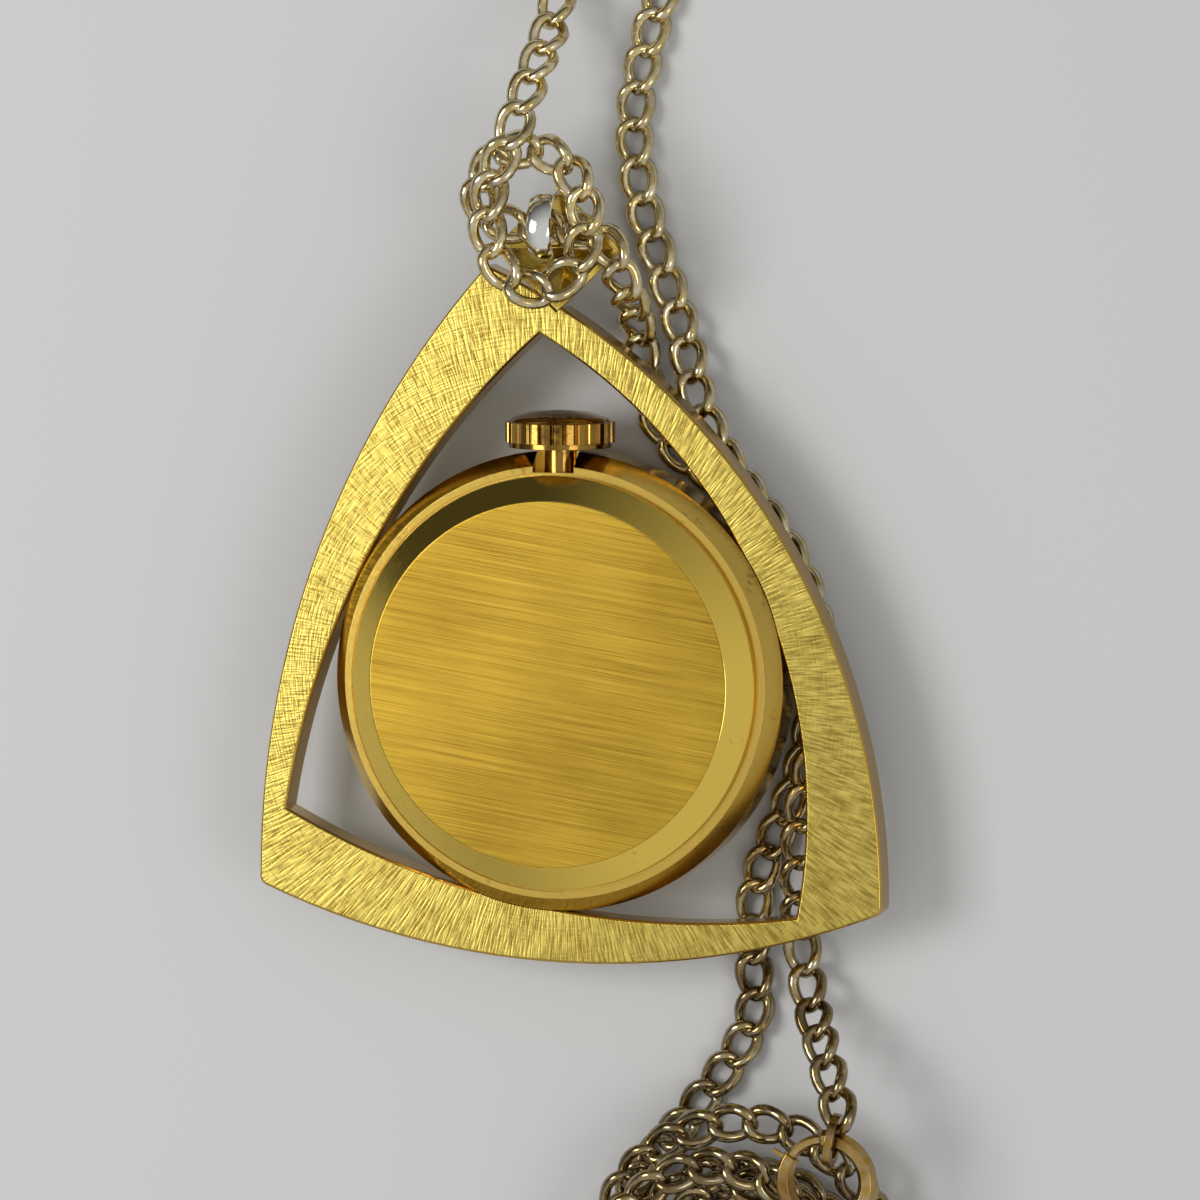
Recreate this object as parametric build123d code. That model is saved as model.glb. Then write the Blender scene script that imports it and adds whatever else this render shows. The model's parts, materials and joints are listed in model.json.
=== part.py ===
from build123d import *
import os
from math import atan2, ceil, cos, degrees, hypot, pi, radians, sin, sqrt, tan

# Pendant watch: an open triangular frame, a round wound watch in it, and its curb chain.
# The watch lies on its crystal with its back up. The origin is on the case's axis at the
# crystal's outer face, +Z points out of the back and +Y points towards the bail and the crown.
# Lengths are millimetres and angles are degrees.

# Fits and working gaps
solder_gap = 0.03
seat_gap = 0.05
running_gap = 0.05
working_gap = 0.15
overrun = 1.0

# Sides of the facets that stand for round forms inside the closed case
small_sides = 10
wheel_sides = 24
rim_sides = 36

# Case, worked outward from the movement that it holds
plate_r = 9.7
ring_wall = 1.05
ring_r = plate_r + ring_wall
bore_room = 0.5
case_bore_r = ring_r + bore_room
back_ledge = 0.45
back_r = case_bore_r + back_ledge
lip_width = 0.53
lip_r = back_r + lip_width
cone_width = 0.8
case_r = lip_r + cone_width
flange_height = 2.6
cone_height = 1.07
lip_drop = 0.17
back_edge = 0.5
back_bevel = 1.1
back_bevel_width = 1.37
back_disc_r = back_r - back_bevel_width
back_wall = 0.6

# Dial, crystal and bezel
dial_margin = 0.9
dial_r = plate_r + dial_margin
dial_thickness = 0.3
dial_hole_r = 0.72
dial_seat_depth = 0.2
sight_margin = 0.7
bezel_sight_r = dial_r - sight_margin
crystal_seat = 0.5
crystal_r = bezel_sight_r + crystal_seat
crystal_thickness = 1.2
crystal_bevel = 0.3
crystal_stand = 0.25
bezel_lip = 0.8
bezel_front_r = crystal_r + bezel_lip
bezel_height = 2.6

# Frame: its reach past the case, and its outline as shares of its width and height
frame_side_reach = 10.34
frame_end_reach = 13.44
frame_width = 2 * case_r + frame_side_reach
frame_height = 2 * case_r + frame_end_reach
frame_thickness = 2.0
frame_corner_r = 0.6
frame_edge = 0.12
outer_corner_shares = [(-0.486, -0.304), (0.514, -0.320), (-0.115, 0.593)]
outer_bulge_shares = [(0.019, -0.406), (0.420, 0.099), (-0.415, 0.118)]
inner_corner_shares = [(-0.442, -0.194), (0.379, -0.329), (-0.030, 0.496)]
inner_bulge_shares = [(-0.044, -0.323), (0.317, 0.1436), (-0.301, 0.184)]
apex_share = 0.593

# Pyramid cap and bail loop
cap_x = -0.1
cap_past_apex = 0.9265
cap_y = apex_share * frame_height + cap_past_apex
cap_half_width = 3.75
cap_half_height = 3.5
cap_depth = 2.6
cap_rim = 0.35
cap_tip_share = 0.06
cap_wall_share = 0.14
cap_sink = 0.2
bail_aside = -0.45
bail_past_cap = 1.25
bail_x = cap_x + bail_aside
bail_y = cap_y + bail_past_cap
bail_width = 1.4
bail_length = 4.3
bail_band = 0.5
bail_top_z = 8.0

# Crown, tube and stem
stem_z = 5.0
stem_r = 0.45
stem_square = 0.6
stem_inner_y = 3.5
stem_square_length = 2.6
stem_groove_r = 0.28
stem_groove_width = 0.3
crown_stand = 0.17
crown_inner_y = case_r + crown_stand
tube_r = 0.9
tube_reach = 0.7
tube_outer_y = crown_inner_y + tube_reach
tube_notch = 0.3
crown_r = 3.1
crown_flutes = 28
crown_flute_depth = 0.2
crown_skirt = 0.3
crown_band = 1.15
crown_bevel = 0.2
crown_dome = 0.45
crown_dome_share = 0.6
crown_rise_share = 0.75
crown_flute_share = 0.28
crown_cavity_r = 2.1
crown_cavity_depth = 1.3
crown_boss_r = 0.7
crown_pull = 0.8

# Dial marks, movement plate and bridges
marker_count = 12
marker_margin = 1.4
marker_length = 1.5
marker_inner_r = dial_r - marker_margin - marker_length
marker_width = 0.5
marker_height = 0.12
plate_web = 0.95
plate_wall = 0.95
motion_depth = 0.6
train_height = 1.5
bridge_thickness = 0.8
bridge_split_y = -1.5
ring_height = 2.3
pivot_r = 0.15
hub_r = 0.45

# Gear train: teeth and modules
tooth_tip_share = 0.75
tooth_root_share = 1.5
barrel_teeth, centre_leaves, barrel_module = 72, 10, 0.11
centre_teeth, third_leaves, centre_module = 64, 8, 0.085
third_teeth, fourth_leaves, third_module = 60, 8, 0.08
fourth_teeth, escape_leaves, fourth_module = 60, 6, 0.07
cannon_leaves, minute_teeth, minute_module = 12, 36, 0.12
minute_leaves, hour_teeth = 10, 40
setting_teeth = 16
winding_teeth, crown_wheel_teeth, ratchet_teeth, winding_module = 20, 28, 44, 0.14
escape_teeth = 15
escape_r = 1.4
escape_root_share = 0.78
escape_tip_shares = [0.35, 0.5]
barrel_angle = 20.0
third_angle = 235.0
fourth_angle = 290.0
escape_angle = 0.0
minute_angle = 115.0
setting_angle = 40.0
wheel_thickness = 0.15
arbor_r = 0.18

# Levels of the train above the plate's deck
centre_wheel_lift = 0.05
barrel_lift = 0.32
barrel_height = 1.06
barrel_tooth_height = 0.35
barrel_drum_share = 0.88
barrel_wall = 0.22
centre_pinion_lift = 0.25
centre_pinion_height = 0.5
third_pinion_lift = 0.05
third_pinion_height = 0.3
third_wheel_lift = 0.95
fourth_pinion_lift = 0.86
fourth_pinion_height = 0.3
fourth_wheel_lift = 1.22
escape_pinion_lift = 1.15
escape_pinion_height = 0.27
escape_wheel_lift = 0.3
mainspring_turns = 4
mainspring_strip = 0.12
mainspring_steps = 10

# Escapement and balance
escapement_angle = -4.0
pallet_distance = 1.62
balance_distance = 3.12
pallet_lift = 0.5
pallet_thickness = 0.15
pallet_arm = 1.5
pallet_spread = 62.0
pallet_stone = 0.16
pallet_stone_height = 0.3
pallet_lever = 0.22
fork_gap = 0.2
fork_depth = 0.25
pallet_cock_lift = 0.72
pallet_cock_thickness = 0.2
pallet_cock_length = 2.5
balance_r = 2.45
balance_rim = 0.3
balance_lift = 1.0
balance_height = 0.3
balance_arm = 0.4
roller_r = 0.75
roller_lift = 0.72
impulse_r = 0.08
impulse_orbit = 0.6
hairspring_turns = 4
hairspring_r = 1.25
hairspring_strip = 0.05
hairspring_height = 0.12
hairspring_steps = 12
hairspring_lift = 1.46
cock_gap = 0.25
cock_foot_x = 7.6
cock_foot_y = -2.9
cock_foot_r = 1.1
cock_arm_r = 0.9
regulator_thickness = 0.15
regulator_ring_r = 0.62
regulator_tail = 1.9
regulator_turn = 150.0

# Keyless work
clutch_r = 0.75
clutch_length = 1.65
clutch_inner_y = 4.35
clutch_groove_r = 0.45
clutch_groove_width = 0.35
clutch_groove_y = 5.2
clutch_slide = 0.5
winding_pinion_length = 0.78
lever_thickness = 0.3
lever_width = 0.4
lever_tip = 0.16
lever_bore_r = 0.2
setting_lever_x = -2.2
setting_lever_y = 7.9
yoke_x = -3.4
stem_block = 0.95
pocket_gap = 0.12
click_distance = 4.2
click_angle = 25.0
click_beak_r = 0.12
click_beak_angle = 47.0
click_spring_width = 0.15

# Hands
hand_thickness = 0.15
hand_mark_gap = 0.4
minute_hand_length = marker_inner_r - hand_mark_gap
hand_difference = 2.4
hour_hand_length = minute_hand_length - hand_difference
hand_width = 0.8
hand_hub = 0.3
hand_tail_share = 0.22
hour_hand_angle = 35.0
minute_hand_angle = 150.0
cannon_r = 0.42
cannon_reach = 1.1
hour_tube_wall = 0.15

# Chain, clasp and rings
chain_width = 2.3
chain_thickness = 1.2
chain_floor_gap = 0.05
chain_gap = 0.45
chain_turn_step = 30.0
chain_sample = 0.5
chain_pass_run = 9.0
winding_rise = 0.3
winding_dip = 0.2
pile_x = 10.0
pile_y = -33.6
pile_outer_r = 8.4
pile_corners = 8
pile_layers = [11, 12, 11, 12]
pile_start_angle = 112.5
pile_end_rise = 0.5
clasp_r = 2.4
clasp_wire_r = 0.55
clasp_sides = 6
clasp_gap = 50.0
clasp_spring_play = 1.0
clasp_bore_r = 0.36
clasp_pin = 0.42
clasp_travel = 45.0
clasp_z = 6.8
clasp_mouth_angle = 120.0
end_ring_angle = 80.0
clasp_knob = 0.5
clasp_overlap = 12.0
clasp_spring_arc = 12.0
ring_link_r = 1.3
ring_link_wire = 0.5
ring_link_sides = 12

# Heights worked out from the sizes above
bezel_front_z = crystal_stand
bezel_back_z = bezel_front_z + bezel_height
case_front_z = bezel_back_z + seat_gap
flange_back_z = case_front_z + flange_height
lip_z = flange_back_z + cone_height
back_seat_z = lip_z - lip_drop
back_edge_z = back_seat_z + seat_gap + back_edge
disc_z = back_edge_z + back_bevel
dial_seat_z = bezel_back_z - dial_seat_depth
dial_front_z = dial_seat_z + seat_gap
dial_back_z = dial_front_z + dial_thickness
plate_front_z = dial_back_z + seat_gap
deck_z = plate_front_z + plate_web
motion_z = plate_front_z + motion_depth
bridge_z = deck_z + train_height
bridge_top_z = bridge_z + bridge_thickness
frame_back_z = flange_back_z
frame_front_z = frame_back_z - frame_thickness
cap_rim_z = frame_back_z - cap_sink


def polar(radius, angle, origin=(0, 0)):
    """A point in plan, at an angle in degrees round an origin."""
    return (origin[0] + radius * cos(radians(angle)), origin[1] + radius * sin(radians(angle)))


def disc(radius, low, high, place=(0, 0)):
    """A round solid about a vertical axis, between two heights."""
    middle = (low + high) / 2
    return Pos(place[0], place[1], middle) * Cylinder(radius, high - low)


def ring(outer, inner, low, high, place=(0, 0)):
    """A flat ring about a vertical axis."""
    return disc(outer, low, high, place) - disc(inner, low - overrun, high + overrun, place)


def plug(radius, low, high, place=(0, 0), sides=small_sides):
    """A round form in straight facets about a vertical axis, its corners at the radius."""
    return Pos(place[0], place[1], low) * extrude(RegularPolygon(radius, sides), high - low)


def bore(radius, low, high, place=(0, 0), sides=small_sides):
    """A hole's form in straight facets, the middles of its sides at the radius."""
    outline = RegularPolygon(radius, sides, major_radius=False)
    return Pos(place[0], place[1], low) * extrude(outline, high - low)


def hoop(outer, inner, low, high, place=(0, 0), sides=wheel_sides):
    """A flat ring in straight facets."""
    hole = plug(inner, low - overrun, high + overrun, place, sides)
    return plug(outer, low, high, place, sides) - hole


def block(low, high):
    """A box between two corners."""
    size = [b - a for a, b in zip(low, high)]
    middle = [(a + b) / 2 for a, b in zip(low, high)]
    return Pos(*middle) * Box(*size)


def rod(radius, start_y, end_y, x=0.0):
    """A round bar along Y at the height of the stem."""
    return Pos(x, (start_y + end_y) / 2, stem_z) * Rot(90, 0, 0) * Cylinder(radius, end_y - start_y)


def prism(points, low, high):
    """A flat piece cut to an outline in plan."""
    return Pos(0, 0, low) * extrude(make_face(Polyline(*points, close=True)), high - low)


def turned(points):
    """A turned piece, from its half section as radius and height."""
    section = make_face(Polyline(*[(r, 0, z) for r, z in points], close=True))
    return revolve(section, Axis.Z)


def tapered_bar(start, start_r, end, end_r, low, high):
    """A flat lever with ends of two sizes, each rounded in straight facets."""
    start_end = Pos(*start) * RegularPolygon(start_r, small_sides)
    far_end = Pos(*end) * RegularPolygon(end_r, small_sides)
    lever = make_hull(start_end.edges() + far_end.edges())
    return Pos(0, 0, low) * extrude(lever, high - low)


def skinned(rings):
    """A solid of flat triangles over rings of corners, closed at its first and last ring."""
    outlines = [rings[0][::-1], rings[-1]]
    count = len(rings[0])
    for near, far in zip(rings, rings[1:]):
        for i in range(count):
            j = (i + 1) % count
            outlines.append([near[i], near[j], far[j]])
            outlines.append([near[i], far[j], far[i]])
    return Solid(Shell([Face(Wire.make_polygon(outline)) for outline in outlines]))


def toothed(teeth, module, low, high, place=(0, 0), phase=0.0):
    """A toothed wheel with pointed teeth, one of them centred on the phase angle."""
    tip = module * (teeth / 2 + tooth_tip_share)
    root = module * (teeth / 2 - tooth_root_share)
    step = 360 / teeth
    points = []
    for tooth in range(teeth):
        points.append(polar(tip, phase + tooth * step, place))
        points.append(polar(root, phase + (tooth + 0.5) * step, place))
    return prism(points, low, high)


def meshed_phase(teeth, phase, mate_teeth, line):
    """The phase that puts a mate's gap on a wheel's tooth, along the line of centres."""
    offset = (line - phase) * teeth / 360
    return line + 180 - (0.5 - offset) * 360 / mate_teeth


def spiral_strip(inner, outer, turns, steps, strip, low, high, place):
    """A flat coiled strip from an inner to an outer radius, in straight facets."""
    count = turns * steps
    inside, outside = [], []
    for index in range(count + 1):
        radius = inner + (outer - inner) * index / count
        angle = 360 * index / steps
        inside.append(polar(radius - strip / 2, angle, place))
        outside.append(polar(radius + strip / 2, angle, place))
    return prism(inside + outside[::-1], low, high)


def pitch_distance(teeth, mate_teeth, module):
    """The distance between the centres of two meshed wheels."""
    return module * (teeth + mate_teeth) / 2


# Places of the arbors in plan
centre = (0, 0)
barrel_distance = pitch_distance(barrel_teeth, centre_leaves, barrel_module)
barrel_at = polar(barrel_distance, barrel_angle)
third_at = polar(pitch_distance(centre_teeth, third_leaves, centre_module), third_angle)
fourth_at = polar(
    pitch_distance(third_teeth, fourth_leaves, third_module), fourth_angle, third_at
)
escape_at = polar(
    pitch_distance(fourth_teeth, escape_leaves, fourth_module), escape_angle, fourth_at
)
pallet_at = polar(pallet_distance, escapement_angle, escape_at)
balance_at = polar(balance_distance, escapement_angle, escape_at)
cock_foot = (cock_foot_x, cock_foot_y)
minute_distance = pitch_distance(cannon_leaves, minute_teeth, minute_module)
minute_at = polar(minute_distance, minute_angle)
hour_module = 2 * minute_distance / (minute_leaves + hour_teeth)
setting_at = polar(
    pitch_distance(minute_teeth, setting_teeth, minute_module), setting_angle, minute_at
)
winding_distance = pitch_distance(crown_wheel_teeth, ratchet_teeth, winding_module)
crown_wheel_at = (0, barrel_at[1] + sqrt(winding_distance**2 - barrel_at[0] ** 2))
ratchet_line = degrees(
    atan2(barrel_at[1] - crown_wheel_at[1], barrel_at[0] - crown_wheel_at[0])
)
crown_wheel_tip = winding_module * (crown_wheel_teeth / 2 + tooth_tip_share)
crown_wheel_root = winding_module * (crown_wheel_teeth / 2 - tooth_root_share)
ratchet_tip = winding_module * (ratchet_teeth / 2 + tooth_tip_share)
winding_tip = winding_module * (winding_teeth / 2 + tooth_tip_share)
winding_low_y = crown_wheel_at[1] + (crown_wheel_root + crown_wheel_tip) / 2
winding_high_y = winding_low_y + winding_pinion_length
click_at = polar(click_distance, click_angle, barrel_at)
yoke_y = clutch_groove_y - clutch_slide / 2
stem_groove_y = setting_lever_y - crown_pull / 2
ratchet_z = bridge_top_z + seat_gap
ratchet_top_z = ratchet_z + lever_thickness
cannon_low_z = dial_front_z - cannon_reach


def outline_point(x_share, y_share):
    """A point of the frame's outline, as shares of the frame's width and height."""
    return (x_share * frame_width, y_share * frame_height)


def curved_triangle(corner_shares, bulge_shares):
    """A face with three corners joined by arcs through three points between them."""
    corners = [outline_point(*share) for share in corner_shares]
    bulges = [outline_point(*share) for share in bulge_shares]
    arcs = [
        ThreePointArc(corners[i], bulges[i], corners[(i + 1) % len(corners)])
        for i in range(len(corners))
    ]
    return make_face(arcs)


def diamond(scale, z):
    """The corners of the cap's four-sided outline at a height."""
    width, height = cap_half_width * scale, cap_half_height * scale
    return [(cap_x - width, cap_y, z), (cap_x, cap_y - height, z),
            (cap_x + width, cap_y, z), (cap_x, cap_y + height, z)]


def pyramid(scale, depth):
    """A pointed block under the cap's rim, its tip towards the front."""
    return skinned([
        diamond(scale * cap_tip_share, cap_rim_z - depth),
        diamond(scale, cap_rim_z - cap_rim),
        diamond(scale, cap_rim_z),
    ])


def make_frame():
    """The open frame, its pyramid cap and its bail loop."""
    outer = curved_triangle(outer_corner_shares, outer_bulge_shares)
    inner = curved_triangle(inner_corner_shares, inner_bulge_shares)
    feet = [v for v in outer.vertices() if v.Y < 0]
    frame = Pos(0, 0, frame_front_z) * extrude(fillet(feet, frame_corner_r), frame_thickness)
    frame = chamfer(frame.faces().sort_by(Axis.Z)[-1].edges(), frame_edge)
    frame -= Pos(0, 0, frame_front_z - overrun) * extrude(inner, frame_thickness + 2 * overrun)
    frame -= Pos(0, 0, frame_back_z - frame_edge) * extrude(inner, frame_edge, taper=-45)
    frame -= disc(case_r + solder_gap, frame_front_z - overrun, frame_back_z + overrun)
    clear = 1 + solder_gap / cap_half_height
    frame -= skinned([diamond(clear, frame_front_z - overrun), diamond(clear, frame_back_z + overrun)])
    hollow = Pos(0, 0, seat_gap) * pyramid(1 - cap_wall_share, cap_depth * (1 - cap_wall_share))
    cap = pyramid(1, cap_depth) - hollow
    return {"pendant_frame": frame, "bail_cap": cap, "bail_loop": make_bail(hollow)}


def make_bail(hollow):
    """The arched loop on the back of the cap, its two legs standing in the cap's hollow."""
    half = bail_length / 2
    inner = half - bail_band
    spring_z = bail_top_z - half
    low = cap_rim_z - cap_depth
    arch = Rot(0, 90, 0) * Cylinder(half, bail_width) - Rot(0, 90, 0) * Cylinder(
        inner, bail_width + overrun
    )
    arch = Pos(bail_x, bail_y, spring_z) * arch
    arch &= block(
        (bail_x - bail_width, bail_y - bail_length, spring_z),
        (bail_x + bail_width, bail_y + bail_length, bail_top_z + overrun),
    )
    legs = []
    for side in (-1, 1):
        near, far = sorted((bail_y + side * inner, bail_y + side * half))
        legs.append(block((bail_x - bail_width / 2, near, low),
                          (bail_x + bail_width / 2, far, spring_z)))
    shrink = 1 - cap_wall_share - solder_gap
    room = Pos(0, 0, seat_gap) * pyramid(shrink, cap_depth * shrink)
    above = block(
        (bail_x - bail_width, bail_y - bail_length, cap_rim_z + solder_gap),
        (bail_x + bail_width, bail_y + bail_length, bail_top_z + overrun),
    )
    feet = [leg & (room + above) for leg in legs]
    return arch + feet[0] + feet[1]


def make_case():
    """Case body, front bezel, crystal, back, tube and the ring round the movement."""
    body = turned([
        (case_bore_r, case_front_z), (case_r, case_front_z), (case_r, flange_back_z),
        (lip_r, lip_z), (back_r + working_gap, lip_z), (back_r + working_gap, back_seat_z),
        (case_bore_r, back_seat_z),
    ])
    body -= rod(tube_r + solder_gap, case_bore_r - overrun, case_r + overrun)
    notch = tube_r + tube_notch
    body -= block((-notch, back_r + working_gap, stem_z), (notch, case_r + overrun, lip_z + overrun))
    bezel = turned([
        (bezel_front_r, bezel_front_z), (case_r, bezel_back_z), (dial_r + seat_gap, bezel_back_z),
        (dial_r + seat_gap, dial_seat_z), (bezel_sight_r, dial_seat_z),
        (bezel_sight_r, crystal_thickness + seat_gap),
        (crystal_r + seat_gap, crystal_thickness + seat_gap), (crystal_r + seat_gap, bezel_front_z),
    ])
    crystal = turned([
        (0, 0), (crystal_r - crystal_bevel, 0), (crystal_r, crystal_bevel),
        (crystal_r, crystal_thickness), (0, crystal_thickness),
    ])
    edge_low = back_seat_z + seat_gap
    back = turned([
        (0, disc_z), (back_disc_r, disc_z), (back_r, back_edge_z), (back_r, edge_low),
        (case_bore_r - back_wall, edge_low), (back_disc_r - back_wall, disc_z - back_wall),
        (0, disc_z - back_wall),
    ])
    tube = rod(tube_r, case_bore_r, tube_outer_y) - rod(stem_r + running_gap, 0, tube_outer_y + overrun)
    casing_top = plate_front_z + ring_height
    casing = plug(ring_r, plate_front_z, casing_top, centre, rim_sides)
    casing -= bore(plate_r + seat_gap, plate_front_z - overrun, casing_top + overrun, centre, rim_sides)
    casing -= rod(tube_r, plate_r - overrun, ring_r + overrun)
    return {"case_body": body, "front_bezel": bezel, "crystal": crystal, "case_back": back,
            "case_tube": tube, "casing_ring": casing}


def make_crown():
    """The fluted crown and the stem that it turns and pulls."""
    band_y = crown_inner_y + crown_skirt
    top_y = band_y + crown_band
    dome_y = top_y + crown_bevel
    points = []
    step = 360 / crown_flutes
    for flute in range(crown_flutes):
        points.append(polar(crown_r, (flute - crown_flute_share) * step))
        points.append(polar(crown_r, (flute + crown_flute_share) * step))
        points.append(polar(crown_r - crown_flute_depth, (flute + 0.5) * step))
    core_r = crown_r - crown_flute_depth
    crown = prism(points, band_y, top_y)
    crown += turned([(0, crown_inner_y), (core_r, crown_inner_y), (core_r, band_y), (0, band_y)])
    crown += turned([
        (0, top_y), (core_r, top_y), (core_r - crown_bevel, dome_y),
        (core_r * crown_dome_share, dome_y + crown_dome * crown_rise_share), (0, dome_y + crown_dome),
    ])
    crown -= hoop(crown_cavity_r, crown_boss_r, crown_inner_y - overrun,
                  crown_inner_y + crown_cavity_depth)
    crown -= bore(crown_boss_r + seat_gap, crown_inner_y - overrun, tube_outer_y + seat_gap)
    bore_y = top_y
    crown -= bore(stem_r + solder_gap, crown_inner_y, bore_y)
    crown = Pos(0, 0, stem_z) * Rot(-90, 0, 0) * crown
    square_end_y = stem_inner_y + stem_square_length
    stem = rod(stem_r, square_end_y, bore_y - solder_gap)
    stem -= rod(stem_r + overrun, stem_groove_y - stem_groove_width / 2,
                stem_groove_y + stem_groove_width / 2)
    stem += rod(stem_groove_r, stem_groove_y - stem_groove_width, stem_groove_y + stem_groove_width)
    half = stem_square / 2
    stem += block((-half, stem_inner_y, stem_z - half), (half, square_end_y, stem_z + half))
    return {"crown": crown, "winding_stem": stem}


def arbor_holes(plate, places, radius=pivot_r + running_gap):
    """A plate with a pivot hole at each place."""
    for place in places:
        plate -= bore(radius, plate_front_z - overrun, bridge_top_z + overrun, place)
    return plate


def half_disc(low_y, high_y, low_x, high_x):
    """The part of a bridge's round blank that lies in a window in plan."""
    blank = plug(plate_r, bridge_z, bridge_top_z, centre, rim_sides)
    return blank & block((low_x, low_y, bridge_z - overrun), (high_x, high_y, bridge_top_z + overrun))


def keyless_pocket(radius):
    """The space round the winding pinion and the clutch."""
    reach = stem_inner_y - pocket_gap
    pinion = bore(winding_tip + pocket_gap, winding_low_y - pocket_gap, winding_high_y + pocket_gap)
    return Pos(0, 0, stem_z) * Rot(-90, 0, 0) * (pinion + bore(radius, reach, winding_high_y))


def make_plate():
    """The main plate with its pockets, and the bridges and cocks that close the train."""
    wall_r = plate_r - plate_wall
    plate = plug(plate_r, plate_front_z, bridge_z, centre, rim_sides)
    plate -= plug(wall_r, deck_z, bridge_z + overrun, centre, rim_sides)
    bearing_y = winding_high_y + pocket_gap
    plate += block((-stem_block, bearing_y, deck_z), (stem_block, wall_r + working_gap, bridge_z))
    plate += plug(cock_foot_r, deck_z, bridge_z, cock_foot)
    cock_foot_pallet = pallet_foot()
    plate += plug(hub_r, deck_z, deck_z + pallet_cock_lift - seat_gap, cock_foot_pallet)
    for place in ((setting_lever_x, setting_lever_y), (yoke_x, yoke_y)):
        low = stem_z - lever_thickness / 2 - seat_gap
        plate += plug(lever_bore_r + running_gap, deck_z, low, place)
        plate += plug(lever_bore_r - running_gap, low, stem_z + lever_thickness, place)
    plate -= bore(balance_r + working_gap, deck_z + roller_lift, bridge_z + overrun, balance_at,
                  wheel_sides)
    plate -= keyless_pocket(clutch_r + pocket_gap)
    stem_half = stem_r + running_gap
    plate -= block((-stem_half, bearing_y - overrun, stem_z - stem_half),
                   (stem_half, plate_r + overrun, bridge_z + overrun))
    slot = lever_thickness / 2 + working_gap
    plate -= block((-stem_block - overrun, bearing_y + pocket_gap, stem_z - slot),
                   (0, setting_lever_y + crown_pull, stem_z + slot))
    hour_tip = hour_module * (hour_teeth / 2 + tooth_tip_share)
    minute_tip = minute_module * (minute_teeth / 2 + tooth_tip_share)
    setting_tip = minute_module * (setting_teeth / 2 + tooth_tip_share)
    for place, radius in ((centre, hour_tip), (minute_at, minute_tip), (setting_at, setting_tip)):
        plate -= bore(radius + working_gap, plate_front_z - overrun, motion_z, place, wheel_sides)
    plate = arbor_holes(plate, [third_at, fourth_at, escape_at, pallet_at, balance_at, minute_at,
                                setting_at])
    plate = arbor_holes(plate, [centre, barrel_at], arbor_r + running_gap)

    left, right = -plate_r - overrun, plate_r + overrun
    barrel_bridge = half_disc(bridge_split_y + working_gap, plate_r + overrun, left, right)
    barrel_bridge -= keyless_pocket(clutch_r + pocket_gap)
    barrel_bridge = arbor_holes(barrel_bridge, [centre, barrel_at], arbor_r + running_gap)
    barrel_bridge += plug(hub_r + working_gap, bridge_top_z - seat_gap, ratchet_top_z, crown_wheel_at)
    barrel_bridge += plug(lever_bore_r, bridge_top_z - seat_gap, ratchet_top_z, click_at)
    train_right = balance_at[0] - balance_r
    train_bridge = half_disc(-plate_r - overrun, bridge_split_y, left, train_right)
    train_bridge = arbor_holes(train_bridge, [third_at, fourth_at, escape_at])

    cock_low_z = bridge_z + cock_gap
    cock = tapered_bar(balance_at, cock_arm_r, cock_foot, cock_foot_r, cock_low_z, bridge_top_z)
    cock += plug(cock_foot_r, bridge_z + seat_gap, cock_low_z + seat_gap, cock_foot)
    cock += plug(regulator_ring_r - running_gap - working_gap, bridge_top_z - seat_gap,
                 bridge_top_z + seat_gap + regulator_thickness, balance_at)
    cock = arbor_holes(cock, [balance_at])
    pallet_low_z = deck_z + pallet_cock_lift
    pallet_cock = tapered_bar(pallet_at, hub_r - working_gap, cock_foot_pallet, hub_r,
                              pallet_low_z, pallet_low_z + pallet_cock_thickness)
    pallet_cock = arbor_holes(pallet_cock, [pallet_at])
    return {"main_plate": plate, "barrel_bridge": barrel_bridge, "train_bridge": train_bridge,
            "balance_cock": cock, "pallet_cock": pallet_cock}


def pallet_foot():
    """The place where the pallet cock stands on the plate."""
    return polar(pallet_cock_length, escapement_angle - 90, pallet_at)


def arbor(place, low, shoulder, high, radius=pivot_r):
    """An arbor with a round pivot up to its shoulder and a faceted stem above it."""
    return disc(radius, low, shoulder, place) + plug(radius, shoulder, high, place)


def make_barrel():
    """The mainspring barrel: drum, cover, arbor and spring."""
    low = deck_z + barrel_lift
    high = low + barrel_height
    tooth_high = low + barrel_tooth_height
    tip = barrel_module * (barrel_teeth / 2)
    drum_r = tip * barrel_drum_share
    cover_low = high - barrel_wall
    bore_r = drum_r - barrel_wall
    axle_r = hub_r
    phase = meshed_phase(centre_leaves, 0.0, barrel_teeth, barrel_angle)
    drum = toothed(barrel_teeth, barrel_module, low, tooth_high, barrel_at, phase)
    drum += plug(drum_r, tooth_high, high, barrel_at, wheel_sides)
    drum -= plug(bore_r, low + barrel_wall, high + overrun, barrel_at, wheel_sides)
    drum -= disc(arbor_r + running_gap, low - overrun, high, barrel_at)
    cover = plug(bore_r - solder_gap, cover_low + seat_gap, high, barrel_at, wheel_sides)
    cover -= bore(arbor_r + running_gap, low, high + overrun, barrel_at)
    inside_low = low + barrel_wall + seat_gap
    axle = arbor(barrel_at, plate_front_z + working_gap, inside_low, ratchet_top_z, arbor_r)
    axle += plug(axle_r, inside_low, cover_low, barrel_at)
    spring = spiral_strip(axle_r + working_gap, bore_r - working_gap, mainspring_turns,
                          mainspring_steps, mainspring_strip, inside_low,
                          cover_low - seat_gap, barrel_at)
    return {"barrel_drum": drum, "barrel_cover": cover, "barrel_arbor": axle, "mainspring": spring}


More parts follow.
